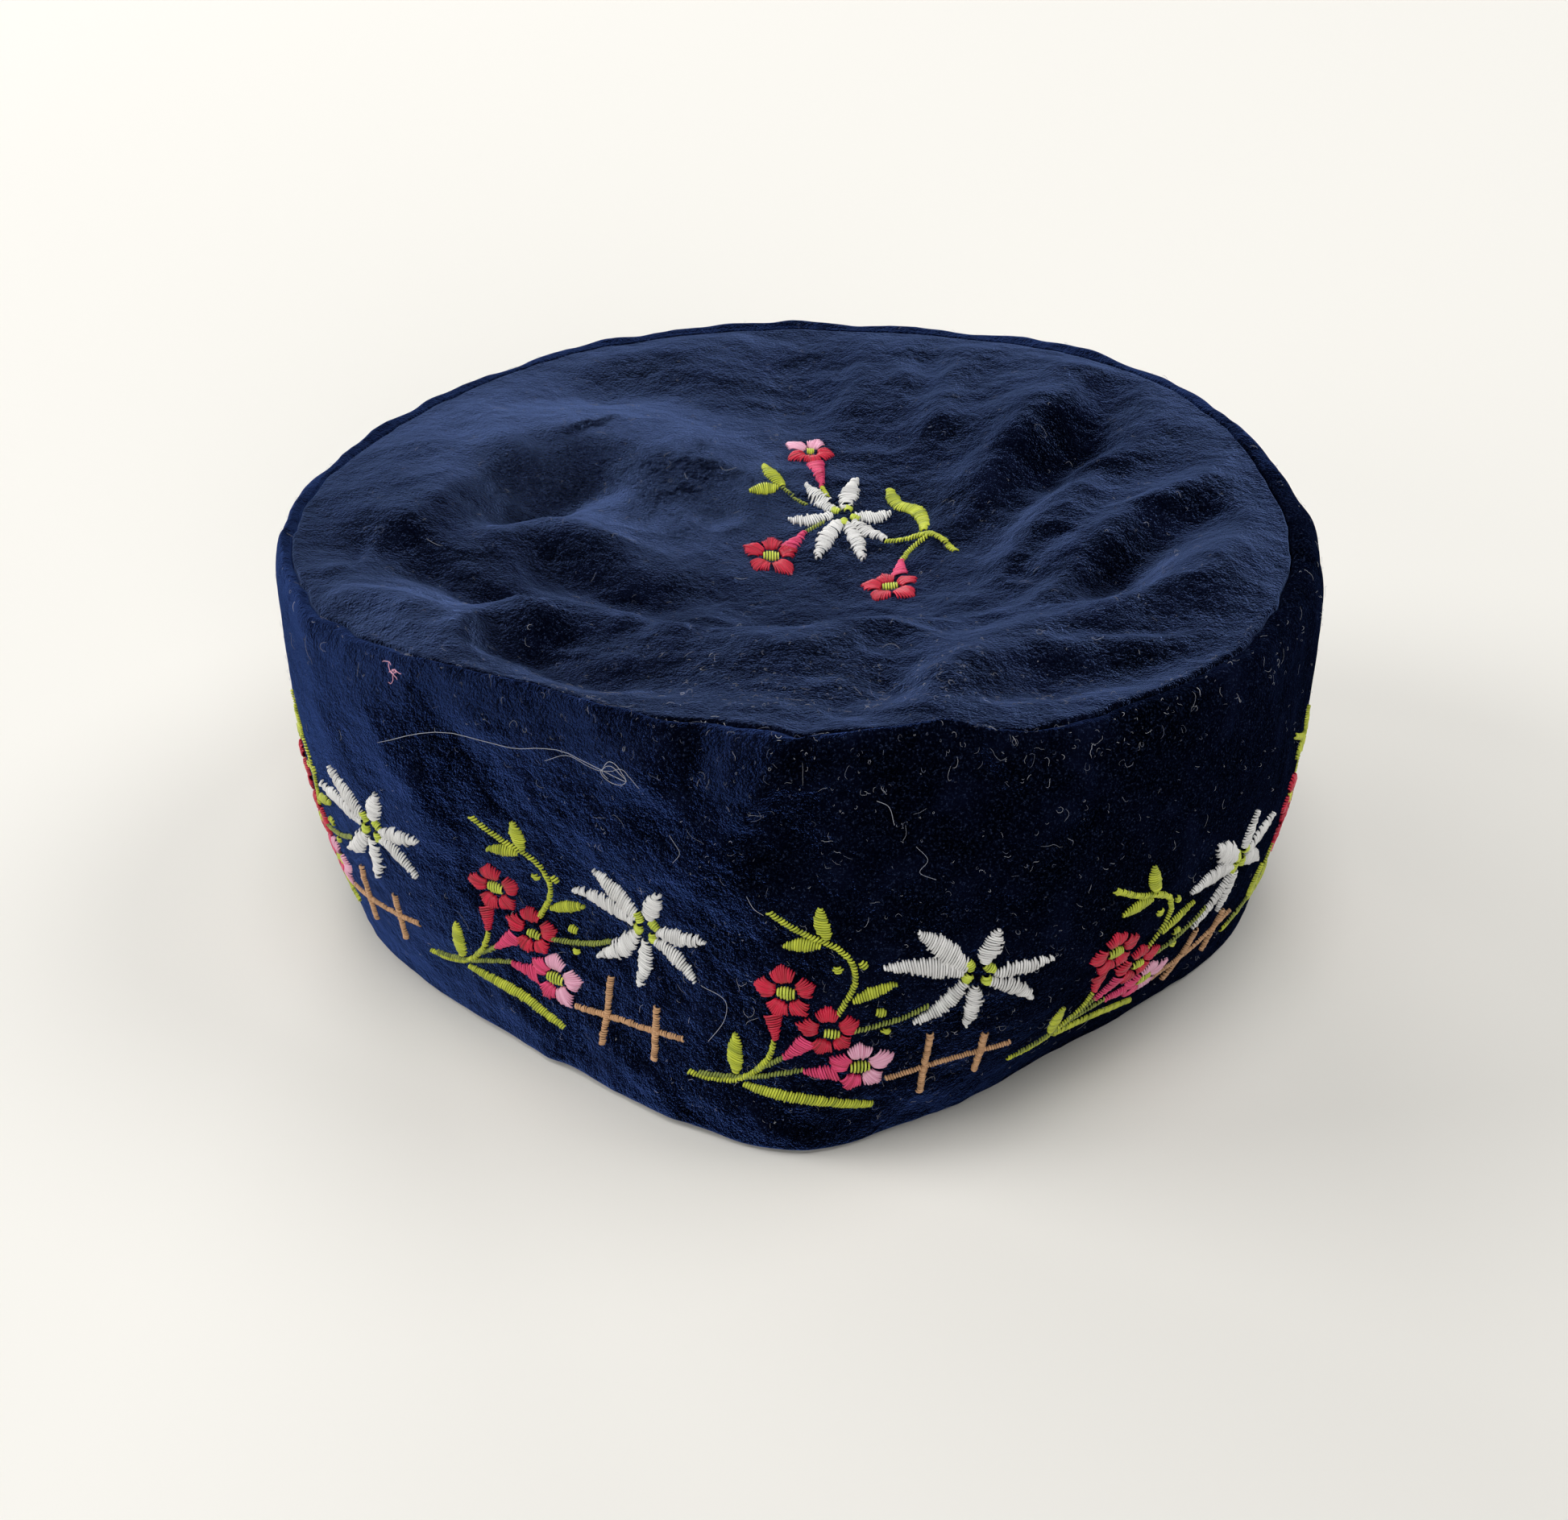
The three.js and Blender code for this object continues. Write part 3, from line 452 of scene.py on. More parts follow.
def cloth_object(name, points, faces, material):
    """A mesh object from places in millimetres and faces of four corners (three if the last is -1)"""
    mesh = bpy.data.meshes.new(name)
    sizes = np.where(faces[:, 3] < 0, 3, 4)
    corners = faces.ravel()[faces.ravel() >= 0]
    starts = np.concatenate([[0], np.cumsum(sizes)[:-1]])
    mesh.vertices.add(len(points))
    mesh.vertices.foreach_set("co", to_metres(points).astype(np.float32).ravel())
    mesh.loops.add(len(corners))
    mesh.loops.foreach_set("vertex_index", corners.astype(np.int32))
    mesh.polygons.add(len(faces))
    mesh.polygons.foreach_set("loop_start", starts.astype(np.int32))
    mesh.update(calc_edges=True)
    mesh.shade_smooth()
    mesh.validate()
    mesh.materials.append(material)
    return add_object(name, mesh)


def swept_object(name, parts, material, ends=None):
    """A section, given in parts, carried round the cap. A disc's sections meet in its two ends."""
    points = np.concatenate(parts, axis=1)
    rows, size = points.shape[:2]
    points = points.reshape(-1, 3)
    i = np.arange(rows)[:, None]
    j = np.arange(size if ends is None else size - 1)[None, :]
    here, there, k = i * size, (i + 1) % rows * size, (j + 1) % size
    faces = np.stack(np.broadcast_arrays(here + j, there + j, there + k, here + k), -1).reshape(-1, 4)
    if ends is not None:
        here, there = here.ravel(), there.ravel()
        first, none = np.full(rows, len(points)), np.full(rows, -1)
        top = np.stack([first, there, here, none], -1)
        bottom = np.stack([first + 1, here + size - 1, there + size - 1, none], -1)
        faces = np.vstack([faces, top, bottom])
        points = np.vstack([points, ends])
    return cloth_object(name, points, faces, material)


ANGLES = np.arange(ROUND_STEPS) * 360 / ROUND_STEPS - 180
face_low = level_at(ANGLES, HEM_ROUND)[:, None]
face_up = np.linspace(0, 1, WALL_STEPS + 1)[None, :]
FACE_PLACES = inside(ANGLES[:, None], face_low + (WIDEST - face_low) * face_up, 0)
face_around = np.roll(FACE_PLACES, -1, 0) - np.roll(FACE_PLACES, 1, 0)
FACE_NORMALS = unit(np.cross(face_around, np.gradient(FACE_PLACES, axis=1)))


def look_up(table, column, row):
    """A table's value between its columns, which run round the cap, and its rows, which run up it"""
    i = np.floor(column).astype(int)
    j = np.clip(np.floor(row).astype(int), 0, table.shape[1] - 2)
    s, t = column - i, row - j
    if table.ndim == 3:
        s, t = s[..., None], t[..., None]
    i, k = i % len(table), (i + 1) % len(table)
    near = table[i, j] * (1 - t) + table[i, j + 1] * t
    far = table[k, j] * (1 - t) + table[k, j + 1] * t
    return near * (1 - s) + far * s


def band_face(flat):
    """Places and normals on the band's outer face, from lengths along it and up it"""
    start = TABLE_LENGTHS[0]
    angle = np.interp((flat[..., 0] - start) % BAND_LENGTH + start, TABLE_LENGTHS, TABLE_ANGLES)
    column = (angle + 180) * (TABLE_STEPS / 360)
    level = flat[..., 1] * LEVEL_GUESS
    for _ in range(4):
        row = np.clip(level / WIDEST * WALL_STEPS, 0, WALL_STEPS - 0.001)
        level = level + (flat[..., 1] - look_up(TABLE_CLIMBS, column, row)) * LEVEL_MEND
    low = level_at(angle, HEM_ROUND)
    row = (level - low) / (WIDEST - low) * WALL_STEPS
    column = (angle + 180) / 360 * ROUND_STEPS
    return look_up(FACE_PLACES, column, row), unit(look_up(FACE_NORMALS, column, row))


def crown_face(flat):
    """Places and normals on the crown's upper face, from places in plan"""
    height = crown_height(flat)
    right = crown_height(flat + np.array([0.6, 0])) - height
    back = crown_height(flat + np.array([0, 0.6])) - height
    return at_height(flat, height), unit(np.stack([-right / 0.6, -back / 0.6, np.ones(height.shape)], -1))


def roll_face(flat):
    """Places and normals on the roll over the band's top, from places on it as a flat cloth"""

    def place(around, over):
        angle = around / ROLL_SCALE[0]
        width = overhang(angle) - LAYER_GAP / 2 - SEAM_ROUND
        return roll(angle, over / ROLL_SCALE[1], 0, width, ROLL_HEIGHT)

    here = place(flat[..., 0], flat[..., 1])
    around = place(flat[..., 0] + 0.5, flat[..., 1]) - here
    over = place(flat[..., 0], flat[..., 1] + 0.3) - here
    return here, unit(np.cross(around, over))


def seam_edge(a, depth, inward):
    """Cloth that turns down at the seam, in the seam allowance, and back up: inward is 1 where its
    other face lies further in than depth, and -1 where it lies further out"""
    top = seam_height(a)
    q = np.linspace(0, np.pi / 2, 5)[None, 1:]
    turned = depth + inward * SEAM_ROUND * (1 - np.sin(q))
    corner = set_in(a, turned, top - SEAM_ROUND * (1 - np.cos(q)))
    fall = top - SEAM_ROUND - (SEAM_ALLOWANCE - SEAM_ROUND) * np.array([[0.5, 1]])
    return [corner, set_in(a, depth, fall), set_in(a, depth + inward * VELVET, fall[:, ::-1])]


def side_band(material):
    """The band: its wall, roll, seam allowance, back, and hem turned up round a pocket. Its lower edge
    rises and falls a little."""
    a = ANGLES[:, None]
    width = overhang(a) - LAYER_GAP / 2
    low = level_at(a, HEM_ROUND)
    leaf = inside(a, low + (WIDEST - low) * np.linspace(0, 1, WALL_STEPS)[None, :-1], 0)
    over = roll(a, np.linspace(0, 1, 19)[None, :], 0, width - SEAM_ROUND, ROLL_HEIGHT)
    under_turns = np.linspace(1, 0, 9)[None, :]
    under = roll(a, under_turns, VELVET, width - 2 * VELVET, ROLL_HEIGHT - VELVET)
    back = inside(a, low + (WIDEST - low) * np.linspace(1, 0, 25)[None, 1:], VELVET)
    middle = (HEM_DEPTH + VELVET) / 2
    pocket = inside(a, low, middle + np.array([[-0.5, 0, 0.5]]))
    pocket[..., 2] = HEM_ROUND - np.array([[0.25, 0.35, 0.25]])
    turn_up = low + (level_at(a, HEM_TURN_UP) - low) * np.linspace(0, 1, 7)[None, :]
    lip = [inside(a, turn_up, HEM_DEPTH), inside(a, turn_up[:, ::-1], HEM_DEPTH + VELVET)]
    q = np.linspace(np.pi, 0, 12)[None, 1:-1]
    hem = inside(a, low, middle - middle * np.cos(q))
    hem[..., 2] = HEM_ROUND * (1 - np.sin(q) ** 0.6)
    parts = [leaf, over, *seam_edge(a, width, -1), under, back, pocket, *lip, hem]
    points = np.concatenate(parts, axis=1)
    ring = polar(ANGLES, RIM_RADIUS, 0 * ANGLES)
    wave = 0.35 + 0.35 * lumps(ring, 9, 31) + 0.2 * lumps(ring, 24, 32)
    loose = np.clip(1 - points[..., 2] / HEM_TURN_UP, 0, 1)
    points[..., 2] += np.maximum(wave, 0)[:, None] * loose
    return swept_object("velvet_band", [points], material)


def crown_points(shares, lift):
    edge = crown_edge(ANGLES, SEAM_ROUND)[:, None, :2]
    places = EDGE_MIDDLE + (edge - EDGE_MIDDLE) * shares[None, :, None]
    return at_height(places, crown_height(places) + lift)


def crown_top(material):
    a = ANGLES[:, None]
    shares = np.linspace(0, 1, CROWN_STEPS + 1)[1:]
    edge = seam_edge(a, overhang(a) + LAYER_GAP / 2, 1)
    parts = [crown_points(shares, 0), *edge, crown_points(shares[::-3], -VELVET)]
    middle = at_height(EDGE_MIDDLE, crown_height(EDGE_MIDDLE[None, :])[0])
    return swept_object("velvet_crown", parts, material, [middle, middle - [0, 0, VELVET]])


def inner_strip(name, depth, thickness, bottom, top, material):
    a = ANGLES[::2, None]
    low, high = level_at(a, bottom), level_at(a, top)
    levels = low + (high - low) * np.linspace(0, 1, 28)[None, :]
    faces = [inside(a, levels, depth), inside(a, levels[:, ::-1], depth + thickness)]
    return swept_object(name, faces, material)


def crown_lining(material):
    angles = ANGLES[::2]
    edge = inside(angles, level_at(angles, LINING_TOP), LINING_DEPTH)[:, None, :2]
    shares = np.linspace(0, 1, 33)[1:]
    places = EDGE_MIDDLE + (edge - EDGE_MIDDLE) * shares[None, :, None]
    loose = 1 - shares**SAG_STARTS
    gathers = 0.5 * lumps(at_height(places, 0.0), 12, 41) * loose
    top = LINING_TOP + LAYER_GAP + LINING - basin(places) * loose + gathers
    upper = at_height(places, top)
    middle = at_height(EDGE_MIDDLE, top[:, 0].mean())
    down = np.array([0, 0, LINING])
    parts = [upper, upper[:, ::-1] - down]
    return swept_object("satin_crown_lining", parts, material, [middle, middle - down])


# Where the part's origin lies: the middle of the side band's box
wall = inside(ANGLES[:, None], TABLE_LEVELS[None, :], 0).reshape(-1, 3)
box_low, box_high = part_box("side_band")
shift = (wall.min(0) + wall.max(0)) / 2 - np.array(box_low + box_high) * 500
ORIGIN_SHIFT = np.array([shift[0], shift[1], 0.0])


def nodes_of(name):
    material = bpy.data.materials.new(name)
    material.use_nodes = True
    tree = material.node_tree
    return material, tree, tree.nodes["Principled BSDF"]


def fill(tree, node, values):
    """Sets a node's inputs, by name or number: a socket is linked to them, and the rest are values"""
    for key, value in values.items():
        if isinstance(value, bpy.types.NodeSocket):
            tree.links.new(value, node.inputs[key])
        else:
            node.inputs[key].default_value = value


def add_node(tree, kind, values, **settings):
    node = tree.nodes.new("ShaderNode" + kind)
    for key, value in settings.items():
        setattr(node, key, value)
    fill(tree, node, values)
    return node.outputs


def math_node(tree, operation, *inputs):
    return add_node(tree, "Math", dict(enumerate(inputs)), operation=operation)["Value"]


def vector_node(tree, operation, *inputs):
    outputs = add_node(tree, "VectorMath", dict(enumerate(inputs)), operation=operation)
    return outputs["Value" if operation == "DISTANCE" else "Vector"]


def place_node(tree):
    """The place on a piece, in its own frame"""
    return (tree.nodes.get("Texture Coordinate") or tree.nodes.new("ShaderNodeTexCoord")).outputs["Object"]


def noise_node(tree, scale, detail=2.0, roughness=0.5):
    values = {"Scale": scale, "Detail": detail, "Roughness": roughness, "Vector": place_node(tree)}
    return add_node(tree, "TexNoise", values)["Fac"]


def ramp_node(tree, source, stops):
    ramp = tree.nodes.new("ShaderNodeValToRGB")
    elements = ramp.color_ramp.elements
    for element, (at, color) in zip(elements, (stops[0], stops[-1])):
        element.position = at
        element.color = (*color, 1)
    for at, color in stops[1:-1]:
        elements.new(at).color = (*color, 1)
    tree.links.new(source, ramp.inputs["Fac"])
    return ramp.outputs["Color"]


def bump_node(tree, source, distance, strength, below=None):
    values = {"Distance": distance, "Strength": strength, "Height": source}
    if below is not None:
        values["Normal"] = below
    return add_node(tree, "Bump", values)["Normal"]


def smooth_share(tree, source, start, end):
    """0 at the start, rising smoothly to 1 at the end"""
    values = {"Value": source, "From Min": start, "From Max": end}
    return add_node(tree, "MapRange", values, interpolation_type="SMOOTHSTEP")["Result"]


def within(tree, middle, reach, core):
    """1 in the core of a round patch, falling to 0 at its reach"""
    away = vector_node(tree, "DISTANCE", place_node(tree), middle)
    return smooth_share(tree, away, reach, core * reach)


# The velvet's pile, dark at its roots and frayed at its tips, and how much sheen it keeps in a patch on
# the band's right side, a painted shade on the side away from the lamps. Near the seam, between two heights
# in metres, it lies another way.
PILE_ROOTS = [
    (0.32, (0.0002, 0.0004, 0.0016)),
    (0.54, (0.0009, 0.0015, 0.006)),
    (0.76, (0.0035, 0.0055, 0.019)),
]
PILE_TIPS = [(0.5, (0.0, 0.0, 0.0)), (0.62, (0.0035, 0.006, 0.015)), (0.78, (0.036, 0.048, 0.1))]
PILE_SHEEN = 1.0
PAINTED_SHADE_SHEEN = 0.12
NEAR_SEAM = (0.064, 0.08)


def velvet_material(name, tint, nap, strokes, top_nap=None, painted_shade_patch=None):
    """Deep navy pile: nearly black seen end on, and blue seen from the side. Its fibres lean towards
    nap, near the seam towards top_nap, and further where a stroke has brushed them: a stroke is the
    place of its middle in metres, its reach, and its lean. In the painted_shade_patch, a middle and
    a reach, the sheen is turned down: painted shade on the side away from the lamps."""
    material, tree, shader = nodes_of(name)
    lay = noise_node(tree, 95, 4, 0.58)
    pile = noise_node(tree, 2100, 2, 0.7)
    colors = {"Factor": 1.0, "A": ramp_node(tree, lay, PILE_ROOTS), "B": ramp_node(tree, pile, PILE_TIPS)}
    color = add_node(tree, "Mix", colors, data_type="RGBA", blend_type="ADD")["Result"]
    fibre = vector_node(tree, "ADD", add_node(tree, "NewGeometry", {})["Normal"], nap)
    if top_nap:
        height = add_node(tree, "SeparateXYZ", {"Vector": place_node(tree)})["Z"]
        near_top = smooth_share(tree, height, *NEAR_SEAM)
        fibre = vector_node(tree, "MULTIPLY_ADD", near_top, np.array(top_nap) - nap, fibre)
    for middle, reach, lean in strokes:
        fibre = vector_node(tree, "MULTIPLY_ADD", within(tree, middle, reach, 0.3), lean, fibre)
    brushed = bump_node(tree, lay, 0.003, 0.75, vector_node(tree, "NORMALIZE", fibre))
    values = {
        "Base Color": color,
        "Roughness": 1.0,
        "Specular IOR Level": 0.0,
        "Sheen Weight": PILE_SHEEN,
        "Sheen Roughness": 0.17,
        "Sheen Tint": (*tint, 1),
        "Normal": bump_node(tree, pile, 0.0005, 0.9, brushed),
    }
    fill(tree, shader, values)
    # Painted shade: the sheen weight falls in this patch, darkening the side away from the lamps
    if painted_shade_patch:
        flat = within(tree, *painted_shade_patch, 0.55)
        sheen = math_node(tree, "MULTIPLY_ADD", flat, PAINTED_SHADE_SHEEN - PILE_SHEEN, PILE_SHEEN)
        tree.links.new(sheen, shader.inputs["Sheen Weight"])
    return material


def thread_material(name, color, dark, roughness=0.42):
    material, tree, shader = nodes_of(name)
    shade = add_node(tree, "Attribute", {}, attribute_name="shade")["Fac"]
    values = {
        "Base Color": ramp_node(tree, shade, [(0.0, dark), (1.0, color)]),
        "Roughness": roughness,
        "Sheen Weight": 0.05,
        "Normal": bump_node(tree, noise_node(tree, 9000, 1), 0.00005, 0.5),
    }
    fill(tree, shader, values)
    return material


def woven_cloth(name, color, dark, roughness, around, up):
    """A cloth whose threads run round the cap and up it, so many to the full turn and to the metre"""
    material, tree, shader = nodes_of(name)
    mottle = noise_node(tree, 260, 4)
    place = add_node(tree, "SeparateXYZ", {"Vector": place_node(tree)})
    turn = math_node(tree, "ARCTAN2", place["X"], place["Y"])
    weave = math_node(tree, "SINE", math_node(tree, "MULTIPLY", turn, around))
    if up:
        rows = math_node(tree, "SINE", math_node(tree, "MULTIPLY", place["Z"], up * 2 * math.pi))
        weave = math_node(tree, "MULTIPLY", weave, rows)
    values = {
        "Base Color": ramp_node(tree, mottle, [(0.3, dark), (0.7, color)]),
        "Roughness": roughness,
        "Normal": bump_node(tree, mottle, 0.0006, 0.3, bump_node(tree, weave, 0.00012, 0.6)),
    }
    fill(tree, shader, values)
    return material


# The band and the crown are one velvet, but the crown's sheen tint is brighter than the band's: painted
# light on the crown and painted shade on the band
BAND_VELVET_LOOK = velvet_material(
    "band_velvet",
    tint=(0.1, 0.2, 0.66),
    nap=(-0.2, 0.0, -0.14),
    strokes=[
        ((0.1, -0.02, 0.075), 0.08, (0.6, -0.8, 0.0)),
        ((0.05, -0.09, 0.08), 0.05, (0.1, -0.3, 0.0)),
        ((0.075, -0.07, 0.025), 0.06, (0.4, -0.5, 0.2)),
    ],
    top_nap=(-0.3, 0.5, 0.0),
    # Painted shade on the band's right side, which faces away from the lamps
    painted_shade_patch=((0.1, -0.05, 0.04), 0.105),
)
CROWN_VELVET_LOOK = velvet_material(
    "crown_velvet",
    tint=(0.28, 0.44, 1.0),
    nap=(-0.14, 0.2, 0.0),
    strokes=[
        ((-0.048, 0.034, 0.073), 0.055, (-0.24, 0.52, 0.0)),
        ((-0.018, 0.02, 0.068), 0.034, (-0.14, 0.44, 0.0)),
        ((0.056, 0.03, 0.073), 0.027, (0.1, -0.35, 0.0)),
        ((-0.07, -0.044, 0.082), 0.026, (-0.15, 0.35, 0.0)),
    ],
)
CANVAS_LOOK = woven_cloth("canvas", (0.66, 0.62, 0.52), (0.5, 0.46, 0.37), 0.9, 700, 1100)
SATIN_LOOK = woven_cloth("satin", (0.018, 0.019, 0.034), (0.009, 0.01, 0.019), 0.32, 1400, 0)
RIBBON_LOOK = woven_cloth("ribbon", (0.024, 0.024, 0.031), (0.013, 0.013, 0.018), 0.6, 620, 0)


def keep(piece, slot, *nodes):
    """The piece rides on the cap and stands for its solids. Its slot is not used."""
    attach(piece, "root")
    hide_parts(*nodes)
    return piece


band = keep(side_band(BAND_VELVET_LOOK), "velvet", "side_band")
crown = keep(crown_top(CROWN_VELVET_LOOK), "velvet", "crown_top")
ribbon_top = SWEATBAND_BOTTOM + SWEATBAND_WIDTH
strips = [
    (
        ("canvas_interlining", INTERLINING_DEPTH, INTERLINING, INTERLINING_EDGE, INTERLINING_TOP),
        (CANVAS_LOOK, "interlining", "band_interlining"),
        ((0.065, 0.63), ["side_band"]),
    ),
    (
        ("satin_band_lining", LINING_DEPTH, LINING, LINING_BOTTOM, LINING_TOP),
        (SATIN_LOOK, "lining", "band_lining"),
        ((0.064, 0.61), ["side_band"]),
    ),
    (
        ("ribbon_sweatband", SWEATBAND_DEPTH, SWEATBAND, SWEATBAND_BOTTOM, ribbon_top),
        (RIBBON_LOOK, "sweatband", "sweatband"),
        ((0.03, 0.58), ["band_lining"]),
    ),
]
for form, (look, slot, node), (flat, held_by) in strips:
    strip = keep(inner_strip(*form, look), slot, node)
ceiling = keep(crown_lining(SATIN_LOOK), "lining", "crown_lining")


# Threads. Each look is a colour and its shaded tone. A thread arches from its ends, which are sunk in
# the cloth: its path is shares of its length, and its arch shares of its lift.
CREAM, GREEN, DARK_GREEN, CRIMSON, PINK, PALE_PINK, TAN, LIME = range(8)
THREAD_COLORS = [
    ("cream_thread", (0.97, 0.96, 0.94), (0.66, 0.65, 0.64)),
    ("green_thread", (0.66, 0.72, 0.055), (0.3, 0.36, 0.02)),
    ("dark_green_thread", (0.34, 0.4, 0.06), (0.13, 0.17, 0.03)),
    ("crimson_thread", (0.72, 0.006, 0.05), (0.32, 0.002, 0.015)),
    ("pink_thread", (0.9, 0.07, 0.22), (0.55, 0.02, 0.09)),
    ("pale_pink_thread", (0.97, 0.52, 0.68), (0.72, 0.28, 0.42)),
    ("tan_thread", (0.74, 0.43, 0.22), (0.42, 0.22, 0.1)),
    ("lime_thread", (0.74, 0.84, 0.1), (0.4, 0.48, 0.03)),
]
THREAD_LOOKS = [thread_material(*colors) for colors in THREAD_COLORS]
FIBRE_LOOK = thread_material("fibre", (0.72, 0.74, 0.8), (0.16, 0.18, 0.26), 0.7)
THREAD_WIDTH = 0.44
THREAD_THICKNESS = 0.4
THREAD_PITCH = 0.5
THREAD_SUNK = 0.3
THREAD_PATH = np.array([0, 0.1, 0.34, 0.66, 0.9, 1])
THREAD_ARCH = np.array([0, 0.72, 1, 1, 0.72, 0])


def stitches(starts, ends, look, lift=0.5, jag=0.08):
    """Straight stitches between flat places, each a little uneven"""
    count = len(starts)
    reach = ends - starts
    ahead = reach / (np.linalg.norm(reach, axis=1, keepdims=True) + 1e-6)
    jitter = random.normal(0, jag, (count, 2))
    lifts = lift * random.uniform(0.9, 1.1, count)
    widths = THREAD_WIDTH * random.uniform(0.88, 1.1, count)
    shades = np.clip(random.normal(0.66, 0.26, count), 0, 1)
    starts = starts - ahead * jitter[:, :1]
    ends = ends + ahead * jitter[:, 1:]
    return np.column_stack([starts, ends, lifts, widths, np.full(count, look), shades])


def satin(line, stations, halves, look, slant=0.0, lift=0.5, pitch=THREAD_PITCH, jag=0.1):
    """Stitches from edge to edge across a shape, given by its middle line and half widths along it"""
    path = smooth_line(line, 40)
    run = run_of(path)
    count = max(2, int(round(run[-1] / pitch)))
    at = (np.arange(count) + 0.5) / count * run[-1]

    def along(values):
        return np.stack([np.interp(at, run, values[:, 0]), np.interp(at, run, values[:, 1])], 1)

    turn = math.radians(90 + slant)
    turned = np.array([[math.cos(turn), math.sin(turn)], [-math.sin(turn), math.cos(turn)]])
    across = unit(along(np.gradient(path, axis=0))) @ turned
    half = np.interp(at / run[-1], stations, halves)[:, None]
    middle = along(path)
    return stitches(middle - across * half, middle + across * half, look, lift, jag)


def rope(line, look, width=1.15):
    """A stem of short slanted stitches"""
    halves = [width / 2, width / 2]
    return satin(line, [0, 1], halves, look, slant=-32, lift=0.42, pitch=0.62, jag=0.09)


def post(line, half, slant, lift):
    return satin(line, [0, 1], [half, half], TAN, slant, lift)


def leaf(base, tip, width, look, bend=0.0, slant=-14):
    base, tip = np.array(base, float), np.array(tip, float)
    middle = (base + tip) / 2 + np.array([base[1] - tip[1], tip[0] - base[0]]) * bend
    halves = np.array([0.3, 0.8, 1, 0.85, 0.45, 0.12]) * width / 2
    return satin([base, middle, tip], [0, 0.2, 0.45, 0.65, 0.88, 1], halves, look, slant)


def knot(place, size, look, turn=0.0, count=4, lift=0.62):
    """A few short stitches side by side"""
    a = math.radians(turn)
    along, beside = np.array([math.cos(a), math.sin(a)]), np.array([-math.sin(a), math.cos(a)])
    step = (np.arange(count) - (count - 1) / 2) / max(count - 1, 1)
    half = along * (size[0] / 2 * np.sqrt(np.maximum(1 - (step * 1.5) ** 2, 0.2)))[:, None]
    middle = np.array(place, float) + beside * step[:, None] * (size[1] - 0.45)
    return stitches(middle - half, middle + half, look, lift)


def star(center, petals, knots, begin=2.7):
    """An edelweiss. A petal, given by its tip, width, bend and slant, is narrow at its base, widest
    before its middle, and runs to a point. A knot is its place, size and turn."""
    rows = []
    for x, y, width, bend, slant in petals:
        tip = np.array([x, y], float)
        reach = tip - center
        base = center + reach * begin / np.linalg.norm(reach)
        line = [base, (base + tip) / 2 + np.array([-reach[1], reach[0]]) * bend, tip]
        halves = np.array([0.34, 0.72, 1, 0.78, 0.34, 0.08]) * width / 2
        stations = [0, 0.14, 0.4, 0.66, 0.9, 1]
        rows.append(satin(line, stations, halves, CREAM, slant, lift=0.72, jag=0.24))
    return rows + [knot(place, size, LIME, turn, 5, 0.75) for place, size, turn in knots]


def petals(center, look, tips, start=1.9):
    """Shield-shaped petals, given by their tips and widths, sewn outwards from the ring round the
    pistil"""
    rows = []
    for x, y, width in tips:
        out = np.array([x, y], float) - center
        reach = np.linalg.norm(out)
        out = out / reach
        beside = np.array([-out[1], out[0]])
        j = np.linspace(-1, 1, int(round(width / 0.43)))[:, None]
        starts = center + out * (start + 0.25 * j**2) + beside * j * width * 0.24
        bow = reach - (reach - start) * 0.42 * np.abs(j) ** 1.25
        ends = center + out * bow + beside * j * width * 0.46
        rows.append(stitches(starts, ends, look, lift=0.6, jag=0.14))
    return rows


def tube(start, end, wide, look, narrow=0.9):
    """The flower's tube, fanning out from its stem"""
    halves = [wide / 2, wide * 0.4, wide * 0.27, narrow / 2]
    return satin([start, end], [0, 0.25, 0.6, 1], halves, look, slant=22, lift=0.58, jag=0.14)


def tube_mesh(name, centers, normals, widths, shades, materials, thick=None, looks=0, sides=6):
    """Closed tubes of three or six sides along rows of places, made as one mesh"""
    count, steps = centers.shape[:2]
    ahead = np.gradient(centers, axis=1)
    side = unit(np.cross(ahead, normals), 1e-9)
    up = unit(np.cross(side, ahead), 1e-9)
    q = np.arange(sides) * 2 * np.pi / sides
    taper = np.ones(steps)
    taper[0] = taper[-1] = 0.6
    thick = widths if thick is None else np.full(count, thick)
    half_width = (widths[:, None] * taper / 2)[..., None, None]
    half_thick = (thick[:, None] * taper / 2)[..., None, None]
    ring = centers[:, :, None] + side[:, :, None] * half_width * np.cos(q)[:, None]
    ring = ring + up[:, :, None] * half_thick * np.sin(q)[:, None]
    i = np.arange(count)[:, None, None] * steps * sides
    j = np.arange(steps - 1)[None, :, None] * sides
    k = np.arange(sides)[None, None, :]
    here, there = i + j, i + j + sides
    turn = (k + 1) % sides
    walls = np.stack([here + k, here + turn, there + turn, there + k], -1).reshape(count, -1, 4)
    near = np.array([[0, 5, 4, 3], [0, 3, 2, 1]] if sides == 6 else [[0, 2, 1, -1]])
    far = near[:, ::-1] if sides == 6 else np.array([[0, 1, 2, -1]])
    caps = np.concatenate([near, np.where(far < 0, -1, far + (steps - 1) * sides)])[None]
    caps = np.where(caps < 0, -1, caps + i)
    faces = np.concatenate([walls, caps], 1)
    piece = cloth_object(name, ring.reshape(-1, 3), faces.reshape(-1, 4), materials[0])
    mesh = piece.data
    for material in materials[1:]:
        mesh.materials.append(material)
    looks = np.repeat(np.broadcast_to(looks, count), faces.shape[1])
    mesh.polygons.foreach_set("material_index", looks.astype(np.int32))
    shade = mesh.attributes.new("shade", "FLOAT", "POINT")
    shade.data.foreach_set("value", np.repeat(shades, steps * sides).astype(np.float32))
    return piece


